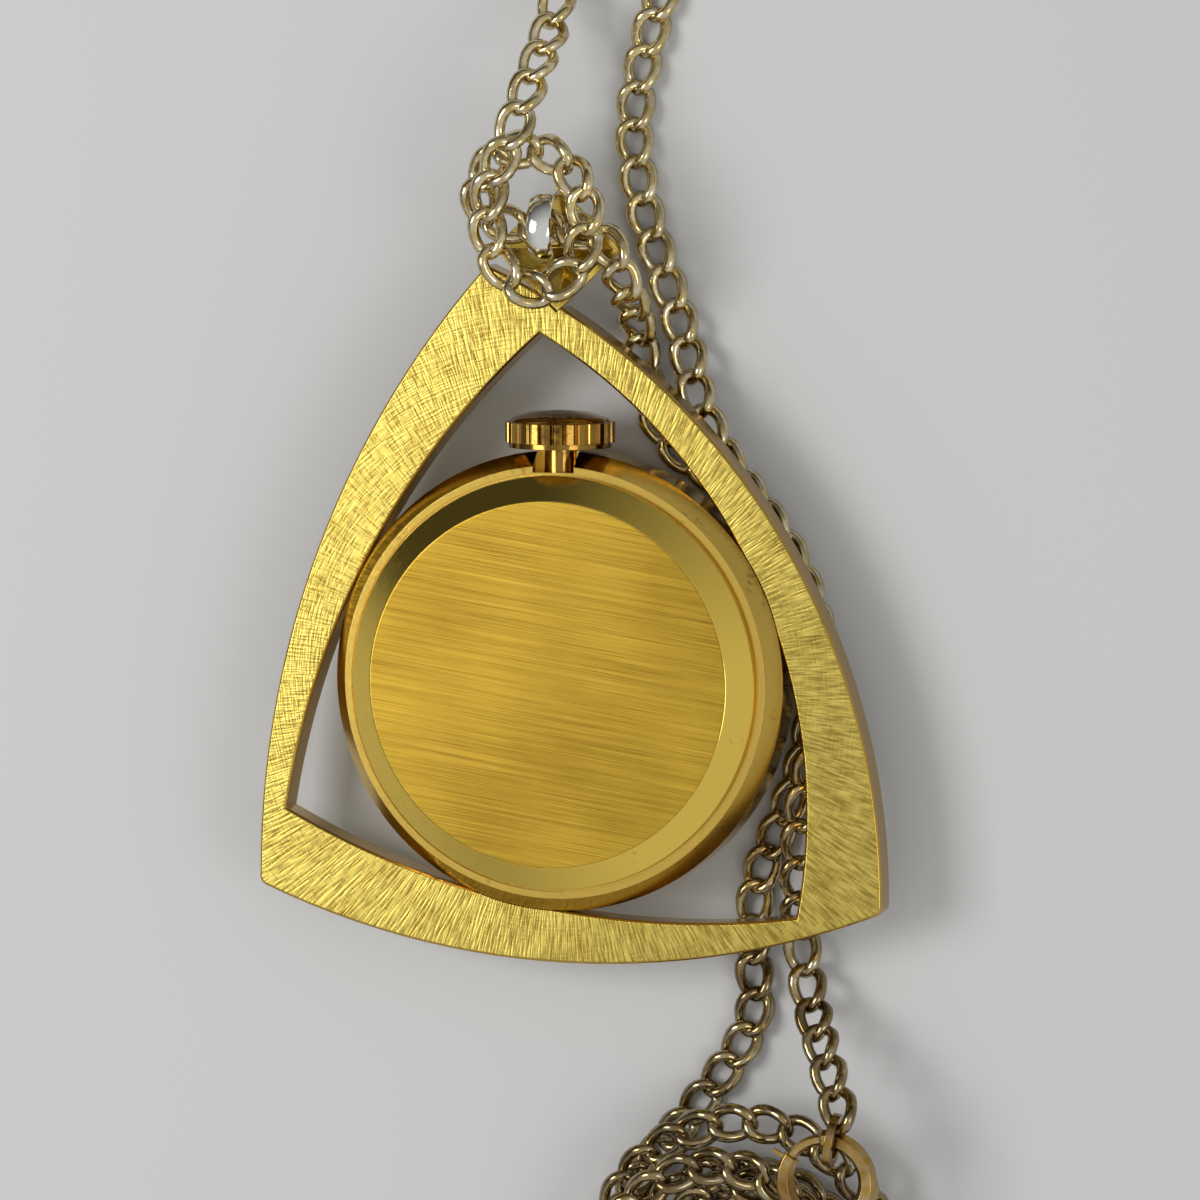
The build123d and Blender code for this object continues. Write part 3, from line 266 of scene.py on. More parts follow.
@dataclass(frozen=True)
class BrushedMetal:
    """Plated metal brushed in straight lines across its face."""

    name: str
    colour: Colour
    shadow: Colour
    brush_turn: float
    line_pitch: float = 0.1
    line_length: float = 4.0
    depth: float = 0.012
    roughness: float = 0.3
    line_grain: Grain = Grain(1.0, 4.0)
    line_span: Span = Span(0.38, 0.62)
    line_share: float = 0.6
    line_roughness: float = 0.16
    coarse_grain: Grain = Grain(1.0)
    coarse_longer: float = 3.0
    coarse_wider: float = 4.0
    cloud_grain: Grain = Grain(0.11)
    cloud_span: Span = Span(0.35, 0.65)
    tone_share: float = 0.65

    def material(self) -> bpy.types.Material:
        """Write the material."""
        w = MaterialWriter(self.name)
        fine = (1 / self.line_length, 1 / self.line_pitch, 1.0)
        wide = (fine[0] / self.coarse_longer, fine[1] / self.coarse_wider, 1.0)
        lines = w.noise(w.mapped(w.place, fine, self.brush_turn), self.line_grain)
        coarse = w.noise(w.mapped(w.place, wide, self.brush_turn), self.coarse_grain)
        both = w.blend(self.line_share, lines, coarse)
        cloud = w.ramp(w.noise(w.place, self.cloud_grain), self.cloud_span)
        tone = w.blend(self.tone_share, w.ramp(both, self.line_span), cloud)
        colour = w.mix(tone, srgb(self.shadow), srgb(self.colour))
        smoothest = self.roughness - self.line_roughness * NOISE_MIDDLE
        rough = w.math("ADD", w.math("MULTIPLY", lines, self.line_roughness), smoothest)
        return w.shade(Base_Color=colour, Metallic=1.0, Roughness=rough,
                       Normal=w.bump(both, self.depth))


@dataclass(frozen=True)
class EngravedMetal:
    """Plated metal with fine broken cuts that point at the case's axis.

    Other cuts run round the axis and cross them, most of all towards the upper left.
    """

    name: str
    colour: Colour
    shadow: Colour
    radial_count: float = 130.0
    radial_length: float = 1.3
    ring_pitch: float = 0.12
    ring_count: float = 16.0
    ring_level: float = 4.0
    line_grain: Grain = Grain(1.0, 1.0)
    corner_lean: float = 1.4
    corner_span: Span = Span(-4.0, 22.0)
    crossing_gain: float = 0.5
    crossing_least: float = 0.2
    cut_span: Span = Span(0.3, 0.68)
    cut_share: float = 0.7
    cut_roughness: float = 0.2
    patch_grain: Grain = Grain(0.55, 4.0)
    patch_span: Span = Span(0.32, 0.6)
    depth: float = 0.02
    roughness: float = 0.28

    def material(self) -> bpy.types.Material:
        """Write the material."""
        w = MaterialWriter(self.name)
        x, y, _ = w.split(w.place)
        angle = w.math("ARCTAN2", y, x)
        radius = w.math("SQRT", w.math("ADD", w.math("MULTIPLY", x, x), w.math("MULTIPLY", y, y)))
        spokes = w.noise(w.joined(w.math("MULTIPLY", angle, self.radial_count),
                                  w.math("MULTIPLY", radius, 1 / self.radial_length), 0.0),
                         self.line_grain)
        rings = w.noise(w.joined(w.math("MULTIPLY", angle, self.ring_count),
                                 w.math("MULTIPLY", radius, 1 / self.ring_pitch),
                                 self.ring_level), self.line_grain)
        corner = w.ramp(w.math("SUBTRACT", y, w.math("MULTIPLY", x, self.corner_lean)),
                        self.corner_span)
        strength = w.math("ADD", w.math("MULTIPLY", corner, self.crossing_gain),
                          self.crossing_least)
        crossing = w.math("MULTIPLY", w.math("SUBTRACT", rings, NOISE_MIDDLE), strength)
        cut = w.math("ADD", spokes, crossing)
        patch = w.ramp(w.noise(w.place, self.patch_grain), self.patch_span)
        tone = w.blend(self.cut_share, w.ramp(cut, self.cut_span), patch)
        colour = w.mix(tone, srgb(self.shadow), srgb(self.colour))
        smoothest = self.roughness - self.cut_roughness * NOISE_MIDDLE
        rough = w.math("ADD", w.math("MULTIPLY", cut, self.cut_roughness), smoothest)
        return w.shade(Base_Color=colour, Metallic=1.0, Roughness=rough,
                       Normal=w.bump(cut, self.depth))


@dataclass(frozen=True)
class AgedChainMetal:
    """Worn chain metal, silvery in specks and brown in patches and towards its lower end."""

    name: str
    colour: Colour
    dark_brown: Colour
    silver: Colour
    roughness: float = 0.24
    bright_y: float = 24.0
    brown_y: float = -20.0
    low_brown: float = 0.5
    patch_grain: Grain = Grain(0.35, 4.0)
    patch_span: Span = Span(0.42, 0.64)
    patch_brown: float = 0.35
    speck_grain: Grain = Grain(2.2)
    speck_span: Span = Span(0.4, 0.66)
    speck_silver: float = 0.6
    speck_roughness: float = 0.08
    pit_grain: Grain = Grain(6.0)
    pit_depth: float = 0.005

    def material(self) -> bpy.types.Material:
        """Write the material."""
        w = MaterialWriter(self.name)
        _, y, _ = w.split(w.place)
        patch = w.ramp(w.noise(w.place, self.patch_grain), self.patch_span)
        # Brown also grows by place alone, darker towards the chain's lower end and its pile.
        low = w.ramp(y, Span(self.bright_y, self.brown_y))
        brown = w.math("ADD", w.math("MULTIPLY", patch, self.patch_brown),
                       w.math("MULTIPLY", low, self.low_brown))
        speck = w.ramp(w.noise(w.place, self.speck_grain), self.speck_span)
        worn = w.mix(w.math("MULTIPLY", speck, self.speck_silver), srgb(self.colour),
                     srgb(self.silver))
        colour = w.mix(brown, worn, srgb(self.dark_brown))
        pits = w.noise(w.place, self.pit_grain)
        rough = w.math("ADD", w.math("MULTIPLY", speck, self.speck_roughness), self.roughness)
        return w.shade(Base_Color=colour, Metallic=1.0, Roughness=rough,
                       Normal=w.bump(pits, self.pit_depth))


@dataclass(frozen=True)
class Crystal:
    """Clear crystal with a faint tint and a little haze."""

    name: str
    colour: Colour = (244, 247, 246)
    clearness: float = 0.96
    refraction: float = 1.49
    haze_grain: Grain = Grain(0.5)
    haze_span: Span = Span(0.5, 0.8)
    haze_roughness: float = 0.06

    def material(self) -> bpy.types.Material:
        """Write the material."""
        w = MaterialWriter(self.name)
        haze = w.ramp(w.noise(w.place, self.haze_grain), self.haze_span)
        return w.shade(Base_Color=srgb(self.colour), Transmission_Weight=self.clearness,
                       IOR=self.refraction,
                       Roughness=w.math("MULTIPLY", haze, self.haze_roughness))


@dataclass(frozen=True)
class Paint:
    """An even painted face with a little grain."""

    name: str
    colour: Colour
    shade_colour: Colour
    roughness: float = 0.5
    grain: Grain = Grain(1.4, 4.0)
    grain_span: Span = Span(0.3, 0.7)
    grain_depth: float = 0.004

    def material(self) -> bpy.types.Material:
        """Write the material."""
        w = MaterialWriter(self.name)
        speckle = w.noise(w.place, self.grain)
        colour = w.mix(w.ramp(speckle, self.grain_span), srgb(self.shade_colour),
                       srgb(self.colour))
        return w.shade(Base_Color=colour, Roughness=self.roughness,
                       Normal=w.bump(speckle, self.grain_depth))


FRAME_FACE = EngravedMetal("frame_face_engraved", (198, 178, 90), (138, 114, 46))
FRAME_WALL = PolishedMetal("frame_wall_polished", (188, 152, 72), (96, 66, 24), roughness=0.2,
                           wear=0.12, stains=Span(0.66, 0.9))
BACK_FACE = BrushedMetal("case_back_brushed", (184, 152, 55), (134, 104, 33), brush_turn=9.0,
                         line_pitch=0.06, line_length=7.0, depth=0.006)
# The bevel's gold is lighter than the case wall's gold: painted light, for the brightness the
# bevel catches.
BACK_BEVEL_PAINTED_LIGHT = PolishedMetal("case_back_bevel_painted_light", (226, 194, 88), (160, 122, 44), roughness=0.1,
                           wear=0.06, stains=Span(0.74, 0.98))
CASE_WALL = PolishedMetal("case_wall_polished", (210, 176, 84), (124, 90, 34), roughness=0.16,
                          wear=0.08, stains=Span(0.66, 0.9))
# The crown's gold is darker than the case's gold: painted shade, standing in for the dark
# reflections on the crown.
CROWN_GOLD_PAINTED_SHADE = PolishedMetal("crown_gold_painted_shade", (150, 116, 54), (70, 46, 18), roughness=0.1,
                           wear=0.1, stains=Span(0.5, 0.8))
CAP_GOLD = PolishedMetal("cap_polished", (208, 180, 90), (124, 92, 34), roughness=0.2)
LOOP_SILVER = PolishedMetal("loop_silver", (222, 221, 216), (150, 142, 124), roughness=0.09,
                            wear=0.06, stains=Span(0.7, 0.9))
CHAIN_GOLD = AgedChainMetal("chain_aged", (208, 186, 126), (84, 60, 30), (234, 230, 214),
                            roughness=0.12)
CLASP_GOLD = AgedChainMetal("clasp_aged", (212, 178, 92), (120, 84, 38), (216, 206, 174),
                            roughness=0.16)
MOVEMENT_STEEL = PolishedMetal("movement_steel", (190, 190, 194), (150, 148, 144), roughness=0.2,
                               wear=0.06, stains=Span(0.76, 1.0))
MOVEMENT_PLATE = BrushedMetal("movement_plate", (206, 204, 194), (160, 156, 142),
                              brush_turn=30.0)
WHEEL_GILT = BrushedMetal("wheel_gilt", (216, 178, 92), (160, 122, 52), brush_turn=60.0)
DIAL_PAINT = Paint("dial_cream", (226, 220, 200), (210, 202, 178))
HAND_PAINT = Paint("hands_black", (30, 28, 28), (20, 19, 20), roughness=0.28)
CLEAR_CRYSTAL = Crystal("crystal_clear")


def make_plain(piece: bpy.types.Object) -> None:
    """Turn a piece's live modifiers into its plain mesh."""
    graph = bpy.context.evaluated_depsgraph_get()
    made = bpy.data.meshes.new_from_object(piece.evaluated_get(graph))
    old, name = piece.data, piece.data.name
    piece.modifiers.clear()
    piece.data = made
    bpy.data.meshes.remove(old)
    made.name = name


def grown(name: str, mesh: bpy.types.Mesh, tree: bpy.types.NodeTree,
          sizes: dict[str, float]) -> bpy.types.Object:
    """Grow a piece from a mesh by a geometry node tree.

    Args:
        name: The piece's name.
        mesh: The mesh that the tree starts from.
        tree: The geometry node tree.
        sizes: The tree's inputs by name.

    Returns:
        The piece as one plain mesh.
    """
    piece = bpy.data.objects.new(name, mesh)
    bpy.context.scene.collection.objects.link(piece)
    modifier = piece.modifiers.new("grown", "NODES")
    modifier.node_group = tree
    for item in tree.interface.items_tree:
        if item.name in sizes:
            modifier[item.identifier] = sizes[item.name]
    make_plain(piece)
    return piece


@dataclass
class Rounding:
    """How a copy's edges are rounded, in millimetres and degrees."""

    width: float = 0.05
    segments: int = 2
    sharp_angle: float = 28.0


@dataclass
class NodeFinisher:
    """Makes finished copies of CAD nodes and dresses the ones that stay."""

    merge: float = 0.0005
    flat_angle: float = 0.6

    def merged(self, node: str) -> bmesh.types.BMesh:
        """Copy a node's mesh, join its loose triangles and melt its flat faces.

        Args:
            node: The CAD node's name.

        Returns:
            The cleaned mesh, for the caller to free.
        """
        bm = bmesh.new()
        bm.from_mesh(frame["nodes"][node].data)
        bmesh.ops.remove_doubles(bm, verts=bm.verts, dist=self.merge * MM)
        bmesh.ops.dissolve_limit(bm, angle_limit=math.radians(self.flat_angle),
                                 verts=bm.verts, edges=bm.edges)
        bmesh.ops.recalc_face_normals(bm, faces=bm.faces)
        return bm

    def piece(self, name: str, bm: bmesh.types.BMesh, rounding: Rounding | None,
              finishes: list[bpy.types.Material]) -> bpy.types.Object:
        """Turn a cleaned mesh into a smooth object with rounded edges.

        Args:
            name: The new object's name.
            bm: The mesh, which is freed.
            rounding: The rounding of its sharp edges, or None.
            finishes: Its materials, in the order of its faces' indices.

        Returns:
            The finished object.
        """
        sharp = math.radians(rounding.sharp_angle if rounding else Rounding.sharp_angle)
        for face in bm.faces:
            face.smooth = True
        for edge in bm.edges:
            edge.smooth = len(edge.link_faces) == 2 and edge.calc_face_angle(0.0) < sharp
        mesh = bpy.data.meshes.new(name)
        bm.to_mesh(mesh)
        bm.free()
        for finish in finishes:
            mesh.materials.append(finish)
        piece = bpy.data.objects.new(name, mesh)
        bpy.context.scene.collection.objects.link(piece)
        if rounding:
            modifier = piece.modifiers.new("rounding", "BEVEL")
            modifier.width = rounding.width * MM
            modifier.segments = rounding.segments
            modifier.limit_method = "ANGLE"
            modifier.angle_limit = sharp
            modifier.harden_normals = True
            make_plain(piece)
        return piece

    def stand_in(self, node: str, name: str, body: Body, slot: str, rounding: Rounding | None,
                 finishes: list[bpy.types.Material],
                 chooser: Callable[[bmesh.types.BMFace], int] | None = None) -> bpy.types.Object:
        """Make the finished copy that a CAD node is shown as.

        Args:
            node: The CAD node's name.
            name: The new piece's name.
            body: The body it rides on.
            slot: The record's material slot; not used.
            rounding: The rounding of its edges, or None.
            finishes: Its materials.
            chooser: A function from a face to its material's index, or None for the first.

        Returns:
            The finished piece.
        """
        bm = self.merged(node)
        if chooser is not None:
            for face in bm.faces:
                face.material_index = chooser(face)
        piece = self.piece(name, bm, rounding, finishes)
        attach(piece, body.value)
        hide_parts(node)
        log.info("%s stands for %s", name, node)
        return piece

    def dress(self, nodes: tuple[str, ...], material: bpy.types.Material) -> None:
        """Give CAD nodes that stay a material."""
        for node in nodes:
            mesh = frame["nodes"][node].data
            mesh.materials.clear()
            mesh.materials.append(material)
            log.info("%s keeps its CAD shape", node)


@dataclass
class PendantFrame:
    """The open frame with its pyramid cap and bail loop."""

    finisher: NodeFinisher
    upright: float = 0.9
    edge: Rounding = field(default_factory=lambda: Rounding(0.05, 2))
    # The CAD loop's strap is this thick.
    loop_thickness: float = 0.5
    loop_steps: int = 28
    loop_sides: int = 16

    def build(self) -> None:
        """Make the frame's pieces."""
        engraved, wall = FRAME_FACE.material(), FRAME_WALL.material()
        self.finisher.stand_in("pendant_frame", "frame_casting", Body.WATCH, "gold", self.edge,
                               [engraved, wall],
                               lambda face: 0 if abs(face.normal.z) > self.upright else 1)
        cap = CAP_GOLD.material()
        self.finisher.stand_in("bail_cap", "pyramid_cap", Body.WATCH, "gold", self.edge, [cap])
        self.loop()

    def loop(self) -> None:
        """Sweep the loop's crowned strap over its arch, within the CAD loop's box."""
        node = frame["nodes"]["bail_loop"]
        corners = [node.matrix_world @ vertex.co / MM for vertex in node.data.vertices]
        low = Vector([min(corner[i] for corner in corners) for i in range(3)])
        high = Vector([max(corner[i] for corner in corners) for i in range(3)])
        middle = (low + high) / 2
        half_wide, half_thick = (high.x - low.x) / 2, self.loop_thickness / 2
        reach = (high.y - low.y) / 2 - half_thick
        spring_z = high.z - half_thick - reach
        upper_foot = min(corner.z for corner in corners if corner.y > middle.y)
        lower_foot = min(corner.z for corner in corners if corner.y < middle.y)
        stations = [(middle.y + reach, upper_foot, 0.0)]
        for index in range(self.loop_steps + 1):
            turn = math.pi * index / self.loop_steps
            stations.append((middle.y + reach * math.cos(turn),
                             spring_z + reach * math.sin(turn), turn))
        stations.append((middle.y - reach, lower_foot, math.pi))
        log.info("the loop's feet stand at %.2f and %.2f mm", upper_foot, lower_foot)
        bm = bmesh.new()
        rings = []
        for y, z, turn in stations:
            ring = []
            for side in range(self.loop_sides):
                around = 2 * math.pi * side / self.loop_sides
                out = half_thick * math.sin(around)
                ring.append(bm.verts.new(Vector((
                    middle.x + half_wide * math.cos(around),
                    y + out * math.cos(turn), z + out * math.sin(turn))) * MM))
            rings.append(ring)
        for near, far in zip(rings, rings[1:]):
            for side in range(self.loop_sides):
                after = (side + 1) % self.loop_sides
                bm.faces.new((near[side], near[after], far[after], far[side]))
        bm.faces.new(rings[0])
        bm.faces.new(rings[-1])
        bmesh.ops.recalc_face_normals(bm, faces=bm.faces)
        piece = self.finisher.piece("silver_loop", bm, None, [LOOP_SILVER.material()])
        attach(piece, Body.WATCH.value)
        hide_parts("bail_loop")


@dataclass
class WatchCase:
    """Case body, back, bezel, crystal, tube and crown."""

    finisher: NodeFinisher
    upright: float = 0.99
    edge: Rounding = field(default_factory=lambda: Rounding(0.06, 2))
    fine_edge: Rounding = field(default_factory=lambda: Rounding(0.03, 2))

    def build(self) -> None:
        """Make the case's pieces."""
        wall = CASE_WALL.material()
        # The back's bevel takes the lighter gold, whose colour holds painted light.
        brushed, bevel = BACK_FACE.material(), BACK_BEVEL_PAINTED_LIGHT.material()
        make = self.finisher.stand_in
        make("case_body", "case_shell", Body.WATCH, "gold", self.edge, [wall])
        make("case_back", "snap_back", Body.WATCH, "gold", self.edge, [brushed, bevel],
             lambda face: 0 if face.normal.z > self.upright else 1)
        make("front_bezel", "glass_bezel", Body.WATCH, "gold", self.edge, [wall])
        make("crystal", "clear_crystal", Body.WATCH, "crystal", self.fine_edge,
             [CLEAR_CRYSTAL.material()])
        # The crown and its tube take the darker gold, whose colour holds painted shade.
        crown = CROWN_GOLD_PAINTED_SHADE.material()
        make("case_tube", "crown_tube", Body.WATCH, "gold", None, [crown])
        make("crown", "fluted_crown", Body.CROWN, "gold", self.fine_edge, [crown])


@dataclass
class Movement:
    """The movement, dial and hands, which keep their CAD shapes."""

    finisher: NodeFinisher
    steel: tuple[str, ...] = (
        "winding_stem", "winding_pinion", "clutch_wheel", "click", "click_spring",
        "setting_lever", "yoke", "ratchet_wheel", "crown_wheel", "barrel_arbor", "escape_wheel",
        "pallet_fork", "regulator", "cannon_pinion", "hairspring", "mainspring",
    )
    plates: tuple[str, ...] = (
        "main_plate", "barrel_bridge", "train_bridge", "balance_cock", "pallet_cock",
        "casing_ring",
    )
    wheels: tuple[str, ...] = (
        "barrel_drum", "barrel_cover", "centre_wheel", "third_wheel", "fourth_wheel",
        "balance_wheel", "minute_wheel", "hour_wheel", "setting_wheel",
    )
    inked: tuple[str, ...] = ("hour_markers", "hour_hand", "minute_hand")

    def build(self) -> None:
        """Dress the movement's nodes."""
        self.finisher.dress(self.steel, MOVEMENT_STEEL.material())
        self.finisher.dress(self.plates, MOVEMENT_PLATE.material())
        self.finisher.dress(self.wheels, WHEEL_GILT.material())
        self.finisher.dress(("dial",), DIAL_PAINT.material())
        self.finisher.dress(self.inked, HAND_PAINT.material())


@dataclass
class MinuteTrack:
    """The fine minute marks that stand on the dial between the hour markers."""

    marks: int = 60
    marks_per_hour: int = 5
    mark_length: float = 0.36
    mark_width: float = 0.08

    def tree(self, material: bpy.types.Material) -> bpy.types.NodeTree:
        """Write the tree that sets bars round a circle and leaves out the hours.

        Args:
            material: The marks' material.

        Returns:
            The geometry node tree.
        """
        tree = bpy.data.node_groups.new("minute_marks", "GeometryNodeTree")
        w = TreeWriter(tree)
        for name in ("Radius", "Length", "Width", "Height", "Level"):
            tree.interface.new_socket(name, in_out="INPUT", socket_type="NodeSocketFloat")
        tree.interface.new_socket("Marks", in_out="OUTPUT", socket_type="NodeSocketGeometry")
        given = w.add("NodeGroupInput").outputs
        result = w.add("NodeGroupOutput")
        circle = w.add("GeometryNodeMeshCircle")
        circle.inputs["Vertices"].default_value = self.marks
        w.put(circle.inputs["Radius"], given["Radius"])
        bar = w.add("GeometryNodeMeshCube")
        w.put(bar.inputs["Size"], w.joined(given["Length"], given["Width"], given["Height"]))
        outward = w.add("FunctionNodeAlignRotationToVector", axis="X", pivot_axis="Z")
        w.put(outward.inputs["Vector"], w.add("GeometryNodeInputPosition").outputs[0])
        place = w.math("MODULO", w.add("GeometryNodeInputIndex").outputs[0],
                       float(self.marks_per_hour))
        laid = w.add("GeometryNodeInstanceOnPoints")
        w.put(laid.inputs["Points"], circle.outputs[0])
        w.put(laid.inputs["Selection"], w.math("GREATER_THAN", place, 0.5))
        w.put(laid.inputs["Instance"], bar.outputs[0])
        w.put(laid.inputs["Rotation"], outward.outputs[0])
        moved = w.add("GeometryNodeTransform")
        w.put(moved.inputs["Geometry"], laid.outputs[0])
        w.put(moved.inputs["Translation"], w.joined(0.0, 0.0, given["Level"]))
        real = w.add("GeometryNodeRealizeInstances")
        w.put(real.inputs[0], moved.outputs[0])
        painted = w.add("GeometryNodeSetMaterial")
        w.put(painted.inputs[0], real.outputs[0])
        painted.inputs["Material"].default_value = material
        w.put(result.inputs[0], painted.outputs[0])
        return tree

    def build(self) -> None:
        """Make the marks at the level and outer end of the hour markers."""
        low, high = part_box("hour_markers")
        sizes = {
            "Radius": high[0] - self.mark_length * MM / 2, "Length": self.mark_length * MM,
            "Width": self.mark_width * MM, "Height": high[2] - low[2],
            "Level": (low[2] + high[2]) / 2,
        }
        piece = grown("minute_marks", bpy.data.meshes.new("minute_marks"),
                      self.tree(HAND_PAINT.material()), sizes)
        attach(piece, Body.WATCH.value)
        log.info("%s stand between the hours", piece.name)


@dataclass
class CurbChain:
    """The curb chain, laid as interlocked links along two routes that leave the bail loop."""

    link_length: float = 3.1
    link_width: float = 2.3
    link_wire: float = 0.66
    link_twist: float = 0.6
    pitch: float = 2.07
    link_facets: int = 20
    wire_facets: int = 8
    roll: float = 0.1
    roll_seed: int = 7
    curve_order: int = 3
    curve_steps: int = 12
    # The routes are trimmed at their start alone, so this lies past every route's end.
    trim_end: float = 10000.0
    # From here on, the sizes are those of the CAD chain and its routes.
    floor_z: float = 0.65
    stacked_z: float = 2.3
    around_low_z: float = 6.2
    around_high_z: float = 7.85
    clasp_z: float = 6.8
    width: float = 2.3
    gap: float = 0.45
    layer_step: float = 1.65
    pile_x: float = 10.0
    pile_y: float = -33.6
    pile_r: float = 8.4
    pile_corners: int = 8
    pile_layers: tuple[int, ...] = (11, 12, 11, 12)
    pile_start: float = 112.5
    pile_end_rise: float = 0.5
    exit_point: Point = (-0.55, 25.6, 7.0)

    def upper_route(self) -> list[Point]:
        """Points from the clasp's end ring up to the bail, in millimetres."""
        z, high = self.floor_z, self.stacked_z
        return [
            (16.6, -23.5, self.clasp_z), (15.4, -20.8, 5.2), (13.8, -18.2, 1.9),
            (13.0, -14.9, 0.9), (13.1, -11.3, 2.0), (13.3, -7.2, high), (14.6, -2.4, high),
            (14.5, 2.6, high), (12.6, 7.6, high), (9.4, 11.6, high), (7.3, 15.2, high),
            (6.3, 19.0, 1.0), (4.8, 23.0, z), (3.4, 27.4, z), (3.0, 32.0, z), (4.2, 37.0, z),
            (5.6, 41.6, z), (3.6, 46.2, z), (-0.4, 45.4, z), (-1.0, 41.0, 1.0),
            (-0.7, 37.4, 3.2), (-1.2, 34.2, 6.4), (-1.8, 31.2, 8.2),
        ]

    def bail_turn(self) -> list[Point]:
        """Points round the bail and through it, in millimetres."""
        low, high = self.around_low_z, self.around_high_z
        return [
            (-3.6, 27.5, high), (-3.3, 23.7, high), (-0.6, 21.7, high), (2.1, 23.7, high),
            (2.3, 27.5, high - 0.2), (0.0, 30.0, 6.35), (-3.8, 29.9, low), (-4.8, 25.6, low),
        ]

    def lower_route(self) -> list[Point]:
        """Points from the bail down under the right limb to the pile, in millimetres."""
        z = self.floor_z
        return [
            (2.8, 25.6, self.around_low_z), (3.9, 22.8, 6.3), (3.8, 20.1, 2.2), (3.7, 16.6, z),
            (5.2, 13.0, z), (8.4, 11.2, z), (11.6, 7.7, z), (13.6, 2.8, z), (13.8, -2.4, z),
            (12.3, -7.2, z), (10.4, -11.2, z), (10.0, -15.4, z), (10.6, -19.6, z),
        ]

    def pile(self) -> list[Point]:
        """Points of the pile: it spirals in and out and climbs in the run between layers."""
        points: list[Point] = []
        radius, angle, direction, z = self.pile_r, self.pile_start, -1, self.floor_z
        step = 360 / self.pile_corners
        shrink = (self.width + self.gap) / (self.pile_corners - 2)
        corner = 1 / math.cos(math.pi / self.pile_corners)

        def add(share: float) -> None:
            """Add one point at the present angle."""
            turn = math.radians(angle)
            points.append((self.pile_x + radius * share * math.cos(turn),
                           self.pile_y + radius * share * math.sin(turn), z))

        for steps in self.pile_layers:
            for _ in range(steps):
                add(corner)
                angle += step
                radius += direction * shrink
            z += self.layer_step
            direction = -direction
        angle -= step / 2
        radius = self.pile_r
        z += self.pile_end_rise - self.layer_step
        add(1.0)
        return points

    def spline_points(self, name: str, route: list[Point]) -> list[Vector]:
        """Follow a route's smooth curve.

        Args:
            name: A name for the curve.
            route: Its control points in millimetres.

        Returns:
            Points along the curve, in metres.
        """
        data = bpy.data.curves.new(name, "CURVE")
        data.dimensions = "3D"
        spline = data.splines.new("NURBS")
        spline.points.add(len(route) - 1)
        for point, place in zip(spline.points, route):
            point.co = (*(value * MM for value in place), 1.0)
        spline.order_u = self.curve_order
        spline.use_endpoint_u = True
        spline.resolution_u = self.curve_steps
        carrier = bpy.data.objects.new(name, data)
        bpy.context.scene.collection.objects.link(carrier)
        graph = bpy.context.evaluated_depsgraph_get()
        line = bpy.data.meshes.new_from_object(carrier.evaluated_get(graph))
        points = [vertex.co.copy() for vertex in line.vertices]
        bpy.data.objects.remove(carrier)
        bpy.data.curves.remove(data)
        bpy.data.meshes.remove(line)
        return points

    def link_tree(self, material: bpy.types.Material) -> bpy.types.NodeTree:
        """Write the tree that lays twisted links along a line of points.

        Args:
            material: The links' material.

        Returns:
            The geometry node tree.
        """
        tree = bpy.data.node_groups.new("curb_links", "GeometryNodeTree")
        w = TreeWriter(tree)
        sides = tree.interface
        sides.new_socket("Line", in_out="INPUT", socket_type="NodeSocketGeometry")
        for name in ("Start", "Pitch", "Length", "Width", "Wire", "Twist", "Roll"):
            sides.new_socket(name, in_out="INPUT", socket_type="NodeSocketFloat")
        sides.new_socket("Links", in_out="OUTPUT", socket_type="NodeSocketGeometry")
        given = w.add("NodeGroupInput").outputs
        result = w.add("NodeGroupOutput")

        ring = w.add("GeometryNodeCurvePrimitiveCircle")
        ring.inputs["Resolution"].default_value = self.link_facets
        ring.inputs["Radius"].default_value = 1.0
        around, across, _ = w.split(w.add("GeometryNodeInputPosition").outputs[0])
        half_long = w.math("MULTIPLY", w.math("SUBTRACT", given["Length"], given["Wire"]), 0.5)
        half_wide = w.math("MULTIPLY", w.math("SUBTRACT", given["Width"], given["Wire"]), 0.5)
        lift = w.math("MULTIPLY", w.math("MULTIPLY", around, across), given["Twist"])
        shaped = w.add("GeometryNodeSetPosition")
        w.put(shaped.inputs["Geometry"], ring.outputs[0])
        w.put(shaped.inputs["Position"], w.joined(w.math("MULTIPLY", across, half_wide), lift,
                                                  w.math("MULTIPLY", around, half_long)))
        wire = w.add("GeometryNodeCurvePrimitiveCircle")
        wire.inputs["Resolution"].default_value = self.wire_facets
        w.put(wire.inputs["Radius"], w.math("MULTIPLY", given["Wire"], 0.5))
        link = w.add("GeometryNodeCurveToMesh")
        w.put(link.inputs[0], shaped.outputs[0])
        w.put(link.inputs[1], wire.outputs[0])

